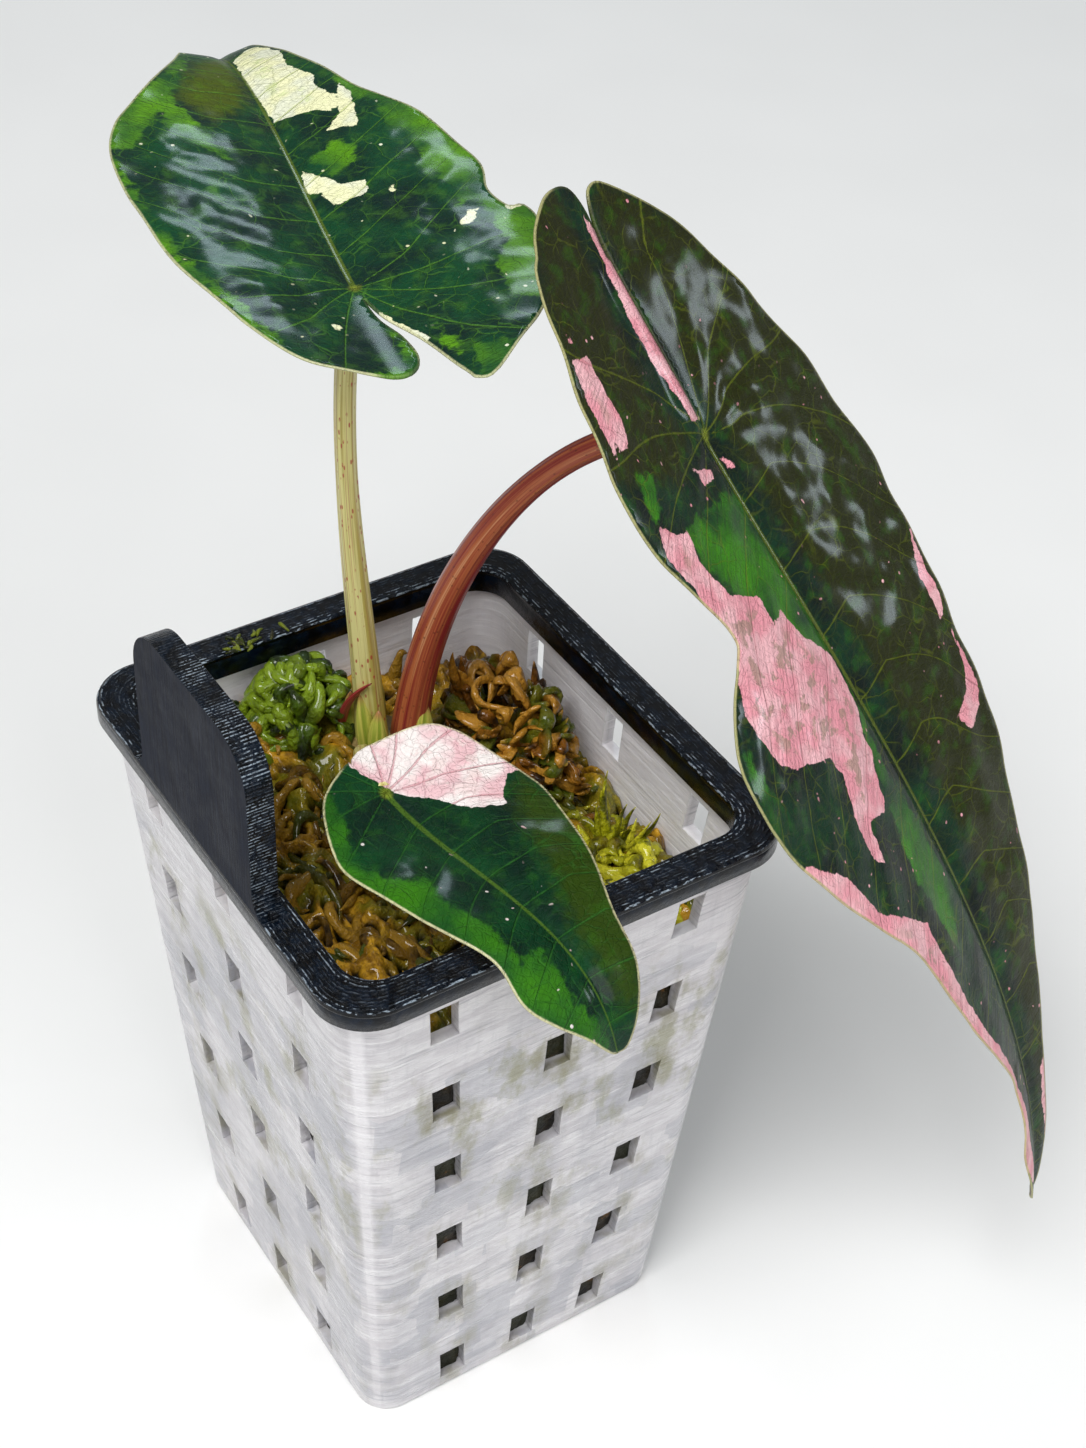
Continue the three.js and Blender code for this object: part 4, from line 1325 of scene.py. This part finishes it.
def in_hole_column(station):
    """True for the strip of wall that starts at this station and lies between a hole's sides."""
    return (station // SPAN_STEPS) % 2 == 1


def ring_points(half_x, half_y, corner, inset, corner_steps, places):
    """Points round a rounded rectangle, moved inwards. places gives those along one wall, from its
    half length and whether it is one of the two that face along Y."""
    points = []
    for quarter in range(4):
        wide = quarter % 2 == 1
        half, depth = (half_x, half_y) if wide else (half_y, half_x)
        turn = quarter * math.pi / 2
        cos, sin = math.cos(turn), math.sin(turn)
        pairs = [(depth - inset, place) for place in places(half, wide)]
        radius = corner - inset
        for step in range(corner_steps):
            angle = step / corner_steps * math.pi / 2
            out, side = radius * math.cos(angle), radius * math.sin(angle)
            pairs.append((depth - corner + out, half - corner + side))
        points += [(out * cos - side * sin, out * sin + side * cos) for out, side in pairs]
    return points


def pot_ring(height, inset):
    """Points around the pot at a height, moved inwards."""
    half_x, half_y, corner = pot_size(height)

    def places(half, wide):
        return wall_places(half, corner, hole_pitch(height) * (1 if wide else SIDE_PITCH_SHARE))

    ring = ring_points(half_x, half_y, corner, inset, CORNER_STEPS, places)
    return [(x, y, height) for x, y in ring]


def pot_heights():
    breaks = sorted(
        [FOOT_ROUND, POT_EDGE - RIM_ROUND]
        + [row + side * HOLE_HEIGHT / 2 for row in HOLE_ROWS for side in (-1, 1)]
    )
    heights = []
    for low, high in zip(breaks, breaks[1:]):
        count = max(1, round((high - low) / 2))
        heights += [low + (high - low) * i / count for i in range(count)]
    return heights + [breaks[-1]]


def floor_plate(ring, height):
    """A flat plate inside a ring, with its square drain holes left out."""
    points = [p[:2] for p in ring]
    loop = [(i, (i + 1) % len(ring)) for i in range(len(ring))]
    for x, y in DRAINS:
        first = len(points)
        points += square(x, y, DRAIN_HALF)
        loop += [(first + i, first + (i + 1) % 4) for i in range(4)]
    made = geometry.delaunay_2d_cdt([Vector(p) for p in points], loop, [], 1, 1e-6)
    plate = [(p[0], p[1], height) for p in made[0]]
    kept = []
    for face in made[2]:
        x, y = np.mean([plate[i][:2] for i in face], axis=0)
        if all(max(abs(x - dx), abs(y - dy)) > DRAIN_HALF for dx, dy in DRAINS):
            kept.append(tuple(face))
    return plate, kept


def wall_faces(heights, count):
    """The faces of both sides of the wall, which start count vertices apart, and of its holes."""
    around = len(STATIONS)

    def open_cell(row, column):
        middle = (heights[row] + heights[row + 1]) / 2
        in_row = any(abs(middle - hole) < HOLE_HEIGHT / 2 for hole in HOLE_ROWS)
        return in_row and STATIONS[column] >= 0 and in_hole_column(STATIONS[column])

    faces = []
    for row in range(len(heights) - 1):
        for column in range(around):
            after = (column + 1) % around
            a, b = row * around + column, row * around + after
            c, d = b + around, a + around
            if not open_cell(row, column):
                faces += [(a, b, c, d), (d + count, c + count, b + count, a + count)]
                continue
            if not open_cell(row, (column - 1) % around):
                faces.append((a, d, d + count, a + count))
            if not open_cell(row, after):
                faces.append((b, b + count, c + count, c))
            if row == 0 or not open_cell(row - 1, column):
                faces.append((a, a + count, b + count, b))
            if not open_cell(row + 1, column):
                faces.append((d, c, c + count, d + count))
    return faces


def make_pot():
    heights = pot_heights()
    outer, inner = [], []
    for height in heights:
        outer += pot_ring(height, 0)
        inner += [(x, y, max(z, POT_WALL)) for x, y, z in pot_ring(height, POT_WALL)]
    around, count = len(STATIONS), len(outer)
    faces = wall_faces(heights, count)
    vertices = outer + inner
    top, rim = count - around, len(vertices)
    for inset in (RIM_ROUND, POT_WALL - RIM_ROUND):
        vertices += pot_ring(POT_EDGE, inset)
    loops = [top, rim, rim + around, top + count]
    for low, high in zip(loops, loops[1:]):
        faces += band(low, high, around)

    under, under_faces = floor_plate(pot_ring(0, FOOT_ROUND), 0)
    above, above_faces = floor_plate(pot_ring(POT_WALL, POT_WALL), POT_WALL)
    low = len(vertices)
    high = low + len(under)
    vertices += under + above
    faces += flipped(under_faces, low) + [tuple(high + i for i in face) for face in above_faces]
    faces += band(low, 0, around) + flipped(band(high, count, around))
    for drain in range(around, around + 4 * len(DRAINS), 4):
        faces += flipped(band(low + drain, high + drain, 4))

    piece = mesh_object(
        "pot_shell", vertices, faces, [pot_skin()], ["net_pot"],
        {"hole": hole_distances(vertices)},
    )
    soften_edges(piece, 0.22)
    return piece


def hole_pitch(height):
    """The distance between a row's holes, on the walls that face along Y."""
    return HOLE_PITCH_BASE + (HOLE_PITCH_TOP - HOLE_PITCH_BASE) * height / HOLE_ROWS[0]


def hole_place(x, y, z):
    """Distances from the nearest hole's edges, across and up, below 0 inside them, the depth in the
    wall, and whether the nearest wall is one of the two that face along X."""
    half_x, half_y, _ = pot_size(z)
    on_side = half_x - abs(x) < half_y - abs(y)
    across, depth = (y, half_x - abs(x)) if on_side else (x, half_y - abs(y))
    pitch = hole_pitch(z) * (SIDE_PITCH_SHARE if on_side else 1)
    aside = min(abs(across - column * pitch) for column in (-1, 0, 1)) - HOLE_WIDTH / 2
    above = min(abs(z - row) for row in HOLE_ROWS) - HOLE_HEIGHT / 2
    return aside, above, depth, on_side


def hole_distances(vertices):
    found = []
    for vertex in vertices:
        aside, above, depth, _ = hole_place(*vertex)
        found.append((max(aside, 0), max(above, 0), depth))
    return found


def soften_edges(piece, width, segments=2):
    bevel = piece.modifiers.new("soft edges", "BEVEL")
    bevel.width = width * MM
    bevel.segments = segments
    bevel.limit_method = "ANGLE"
    bevel.angle_limit = math.radians(40)
    bevel.harden_normals = False
    weighted = piece.modifiers.new("even shading", "WEIGHTED_NORMAL")
    weighted.keep_sharp = True


def pot_skin():
    """Milky printed plastic: fine level layers, with painted shade where the wet moss shows through the
    wall (grey patches, clouds, an olive tint and shade round the holes) and a paler painted inner face.
    """
    skin = Skin("clear_print", {
        "IOR": 1.46, "Coat Weight": 0.3, "Coat Roughness": 0.18,
        "Subsurface Weight": 0.35, "Subsurface Scale": 0.003, "Subsurface Radius": (1, 1, 1),
    })
    place = skin.millimetres()
    _, _, height = skin.split(place)
    aside, above, depth = skin.split(skin.attribute("hole"))
    layers = skin.noise(place, (0.014, 0.014, 1.7), detail=4, roughness=0.7)
    steps = skin.noise(place, (0.16, 0.16, 0.5), detail=2)
    brushed = skin.noise(place, (0.8, 0.8, 0.1), detail=3, roughness=0.6)
    cloud = skin.noise(skin.stretch(place, (1, 1, 0.7)), 0.07, detail=3, roughness=0.55)
    moss_shade_noise = skin.noise(skin.stretch(place, (1, 1, 0.6)), 0.11, detail=5, roughness=0.65)
    colour = skin.mix(skin.rise(steps, 0.42, 0.58), "#cbc8cc", "#d9d7da")
    colour = skin.tint(colour, "#a5a4aa", skin.rise(layers, 0.54, 0.64), 0.25)
    colour = skin.tint(colour, "#f4f3f4", skin.fall(layers, 0.38, 0.46), 0.5)
    colour = skin.tint(colour, "#a9a8ae", skin.rise(brushed, 0.5, 0.7), 0.18)
    courses = skin.noise(place, (0.012, 0.012, 0.33), detail=3, roughness=0.6)
    seam = skin.fall(skin.gap(courses, 0.5), 0.004, 0.014)
    colour = skin.tint(colour, "#8b8c95", seam, 0.4)
    # Below the moss's top, the outer face gets painted shade where the moss behind the wall shows
    # through.
    outside = skin.times(skin.fall(height, 92, 108), skin.fall(depth, 0.6, 1.8))
    # Painted shade in blocky grey patches.
    tiles = skin.node(
        "TexVoronoi", {"Vector": skin.stretch(place, (0.1, 0.1, 0.14)), "Scale": 1.0},
        feature="F1", distance="CHEBYCHEV",
    )
    tone = skin.times(skin.rise(skin.split(tiles.outputs["Color"])[0], 0.45, 0.75), outside)
    colour = skin.tint(colour, "#989ba6", tone, 0.4)
    # Painted shade in soft grey clouds.
    shade = skin.times(skin.rise(cloud, 0.44, 0.6), outside)
    colour = skin.tint(colour, "#9496a1", shade, 0.35)
    # Painted shade with an olive tint, of the moss seen through the wall, stronger higher up.
    green = skin.times(skin.rise(moss_shade_noise, 0.5, 0.68), outside)
    green = skin.times(green, skin.rise(height, 20, 75, 0.3, 1.0))
    colour = skin.tint(colour, "#838252", green, 0.7)
    # Painted shade round the holes, olive where the moss behind them shows.
    shade_by_holes = skin.times(skin.fall(aside, 0.3, 3.8), skin.fall(above, 0.3, 6))
    shade_by_holes = skin.times(shade_by_holes, skin.times(outside, skin.rise(moss_shade_noise, 0.42, 0.62)))
    colour = skin.tint(colour, "#7d7856", shade_by_holes, 0.5)
    # Painted light: the pot's inner face is painted paler, as if lit through the wall.
    colour = skin.tint(colour, "#f4f2f5", skin.rise(depth, 1.2, 2.0, 0.0, 0.6))
    skin.paint(colour)
    skin.polish(skin.rise(layers, 0.3, 0.7, 0.22, 0.4))
    relief = skin.plus(layers, skin.times(steps, 1.5))
    skin.emboss(skin.plus(relief, skin.times(brushed, 0.5)), 0.2, 0.9)
    return skin.material


COLLAR_X = 45
COLLAR_Y = 41
COLLAR_CORNER = 9
COLLAR_WIDTH = 6
COLLAR_SKIRT = 4
COLLAR_LIP = 5
COLLAR_PLATE = 1.7
COLLAR_INNER_CORNER = 5.8
COLLAR_STEP = 1.5
RING_CORNER_STEPS = 14
# Distance between the print tracks on the collar and the tag's edge
TRACK_PITCH = 0.62


def rounded_ring(half_x, half_y, corner, spacing):
    """Points around a rounded rectangle, the same number for every size."""
    def places(half, wide):
        steps = round(2 * (COLLAR_X if wide else COLLAR_Y) / spacing)
        return [(half - corner) * (2 * i / steps - 1) for i in range(steps)]

    return ring_points(half_x, half_y, corner, 0, RING_CORNER_STEPS, places)


def make_collar():
    """The black channel that is pressed over the pot's edge."""
    inner = COLLAR_X - COLLAR_WIDTH
    channel = POT_TOP_X + 0.25
    top = POT_HEIGHT
    plate, skirt, lip = top - COLLAR_PLATE, top - COLLAR_SKIRT, top - COLLAR_LIP
    within = COLLAR_INNER_CORNER
    profile = [
        (inner, lip + 0.3, within), (inner + 0.3, lip, within + 0.3), (inner + 1.1, lip, within + 1.1),
        (inner + 1.1, plate, within + 1.1), (channel, plate, POT_CORNER), (channel, skirt, POT_CORNER),
        (COLLAR_X - 0.3, skirt, COLLAR_CORNER - 0.3), (COLLAR_X, skirt + 0.3, COLLAR_CORNER),
        (COLLAR_X, top - 0.8, COLLAR_CORNER), (COLLAR_X - 0.25, top - 0.25, COLLAR_CORNER - 0.25),
        (COLLAR_X - 0.8, top, COLLAR_CORNER - 0.8), (COLLAR_X - 2.4, top, COLLAR_CORNER - 1.6),
        (COLLAR_X - 4, top, COLLAR_CORNER - 2.2), (inner + 0.5, top, within + 0.3),
        (inner + 0.15, top - 0.15, within + 0.1), (inner, top - 0.5, within),
    ]
    vertices, lanes = [], []
    for half, height, corner in profile:
        ring = rounded_ring(half, half - POT_NARROWER_Y, corner, COLLAR_STEP)
        vertices += [(x, y, height) for x, y in ring]
        lanes += [(half - inner, i * COLLAR_STEP, height - top) for i in range(len(ring))]
    around = len(ring)
    faces = []
    for row in range(len(profile)):
        faces += band(row * around, (row + 1) % len(profile) * around, around)
    piece = mesh_object(
        "collar", vertices, faces, [black_skin("black_collar")], ["collar_with_tag"],
        {"lane": lanes},
    )
    make_faces_outward(piece)
    return piece


TAG_WIDTH = 37.5
TAG_CENTRE = -1.25
TAG_TOP = 150.5
TAG_THICKNESS = 4.5
TAG_CORNER = 8.5
TAG_FILLET = 3.5
TAG_SUNK = 0.3


def arc(radius, steps):
    """How far the points of a quarter circle lie from the two sides of the corner that it cuts."""
    angles = [i / steps * math.pi / 2 for i in range(steps + 1)]
    return [(radius * (1 - math.cos(a)), radius * (1 - math.sin(a))) for a in angles]


def tag_outline():
    """The tag's outline, from one foot up, over its top and down to the other foot."""
    half = TAG_WIDTH / 2
    bend = POT_HEIGHT + TAG_FILLET
    shoulder = TAG_TOP - TAG_CORNER
    side = [(half + TAG_FILLET, POT_HEIGHT - TAG_SUNK)]
    side += [(half + out, POT_HEIGHT + up) for up, out in arc(TAG_FILLET, 8)]
    side += [(half, bend + (shoulder - bend) * i / 8) for i in range(1, 8)]
    side += [(half - out, TAG_TOP - up) for out, up in arc(TAG_CORNER, 12)]
    flat = 2 * (half - TAG_CORNER)
    over = [(half - TAG_CORNER - flat * i / 10, TAG_TOP) for i in range(1, 10)]
    return side + over + [(-x, z) for x, z in reversed(side)]


def make_tag():
    """The label tag that is printed in one with the collar. Its face is bare."""
    outline = tag_outline()
    count = len(outline)
    ways = np.cumsum([0] + [math.dist(a, b) for a, b in zip(outline, outline[1:])])
    vertices, lanes = [], []
    for depth in (0, TAG_THICKNESS / 2, TAG_THICKNESS):
        vertices += [(x + TAG_CENTRE, depth - COLLAR_Y, z) for x, z in outline]
        lanes += [(depth, way, 0) for way in ways]
    faces = [tuple(range(count)), tuple(reversed(range(2 * count, 3 * count)))]
    faces += flipped(band(0, count, count) + band(count, 2 * count, count))
    kinds = [0, 0] + [1] * (len(faces) - 2)
    piece = mesh_object(
        "label_tag", vertices, faces, [slate_skin(), black_skin("black_edge", ladder=True)],
        ["collar_with_tag"], {"lane": lanes}, kinds,
    )
    make_faces_outward(piece)
    soften_edges(piece, 0.5, segments=3)
    return piece


def black_skin(name, ladder=False):
    """Glossy black print: the nozzle's tracks run along the edges, with painted glints, pale dashes
    painted on them.
    With ladder, the tracks cross the edge, close together, like rungs."""
    skin = Skin(name, {"IOR": 1.5, "Specular IOR Level": 0.22})
    across, along, drop = skin.split(skin.attribute("lane"))
    if ladder:
        across, along = along, across
    place = skin.millimetres()
    lane = skin.join(across, along, drop)
    track = skin.math("SINE", skin.times(across, 2 * math.pi / TRACK_PITCH))
    dashes = skin.noise(lane, (1.6, 0.42, 1.6), detail=3, roughness=0.7)
    grain = skin.noise(place, 2.2, detail=3, roughness=0.7)
    lumps = skin.noise(place, 0.45, detail=2)
    on_top = skin.rise(drop, -1, -0.4, 0.1, 1.0)
    lowest = 0.42 if ladder else 0.5
    # Painted glints: pale dashes on the tracks, where light would glitter on them.
    painted_glint = skin.times(skin.rise(dashes, lowest, lowest + 0.1), skin.rise(track, 0.1, 0.8))
    if ladder:
        painted_glint = skin.times(painted_glint, skin.rise(grain, 0.42, 0.54))
        painted_glint = skin.times(painted_glint, skin.rise(skin.noise(place, 0.11), 0.44, 0.56, 0.08, 0.9))
    else:
        by_edge = skin.larger(skin.fall(across, 1.1, 1.9), skin.rise(across, 4.7, 5.4))
        painted_glint = skin.times(painted_glint, skin.rise(by_edge, 0, 1, 0.12, 1.0))
        painted_glint = skin.times(painted_glint, on_top)
    colour = skin.mix(skin.rise(lumps, 0.35, 0.65), "#020409", "#0a1624")
    # The painted glints are laid over the black in pale blue-white.
    colour = skin.tint(colour, "#b9c9d8", painted_glint, 0.7)
    skin.paint(colour)
    skin.polish(skin.rise(grain, 0.3, 0.7, 0.1, 0.26))
    height = skin.plus(skin.times(track, 0.12), skin.times(grain, 0.5))
    height = skin.plus(height, skin.times(dashes, 0.9))
    height = skin.plus(height, skin.times(lumps, 2.2))
    skin.emboss(skin.times(height, on_top), 0.65, 1.0)
    return skin.material


def slate_skin():
    """The tag's broad faces: matt slate, with the fine upright grain of a print bed."""
    skin = Skin("slate_face", {"IOR": 1.45, "Specular IOR Level": 0.08})
    place = skin.millimetres()
    grain = skin.noise(place, (2.6, 2.6, 0.16), detail=4, roughness=0.65)
    scuff = skin.noise(place, 0.11, detail=5, roughness=0.65)
    speck = skin.noise(place, 3.5, detail=2)
    colour = skin.mix(skin.rise(grain, 0.3, 0.7), "#11141d", "#1e2330")
    colour = skin.tint(colour, "#2a303e", skin.rise(scuff, 0.5, 0.7), 0.35)
    skin.paint(colour)
    skin.polish(skin.rise(scuff, 0.3, 0.7, 0.48, 0.66))
    skin.emboss(skin.plus(grain, skin.times(speck, 0.5)), 0.09, 0.8)
    return skin.material


# Scene

add_camera()
add_floor()
add_sky(0.19)
# Azimuth, height, distance, size and watts, and the colour where it isn't white
add_softbox("key_light", 25, 60, 1.6, 0.8, 24)
add_softbox("fill_light", 95, 35, 2.0, 1.2, 13)
add_softbox("back_light", -122, 36, 1.5, 0.2, 1.6, (0.72, 0.9, 1))
add_softbox("low_light", 163, 13, 1.5, 0.18, 1.5, (0.8, 0.92, 1))
bpy.context.scene.view_settings.view_transform = "Standard"

make_pot()
make_collar()
make_tag()
make_moss()
dress_stem()
make_shoot()
make_sheath()
stalk_skins = {"pale_stem": pale_stalk_skin(), "red_stem": red_stalk_skin()}
for leaf_name, leaf in LEAVES.items():
    make_leaf("leaf_" + leaf_name, leaf, "leaf_blade_" + leaf_name)
    stalk = STALKS[leaf_name]
    make_stalk(leaf_name, stalk, leaf, stalk_skins[stalk["slot"]])
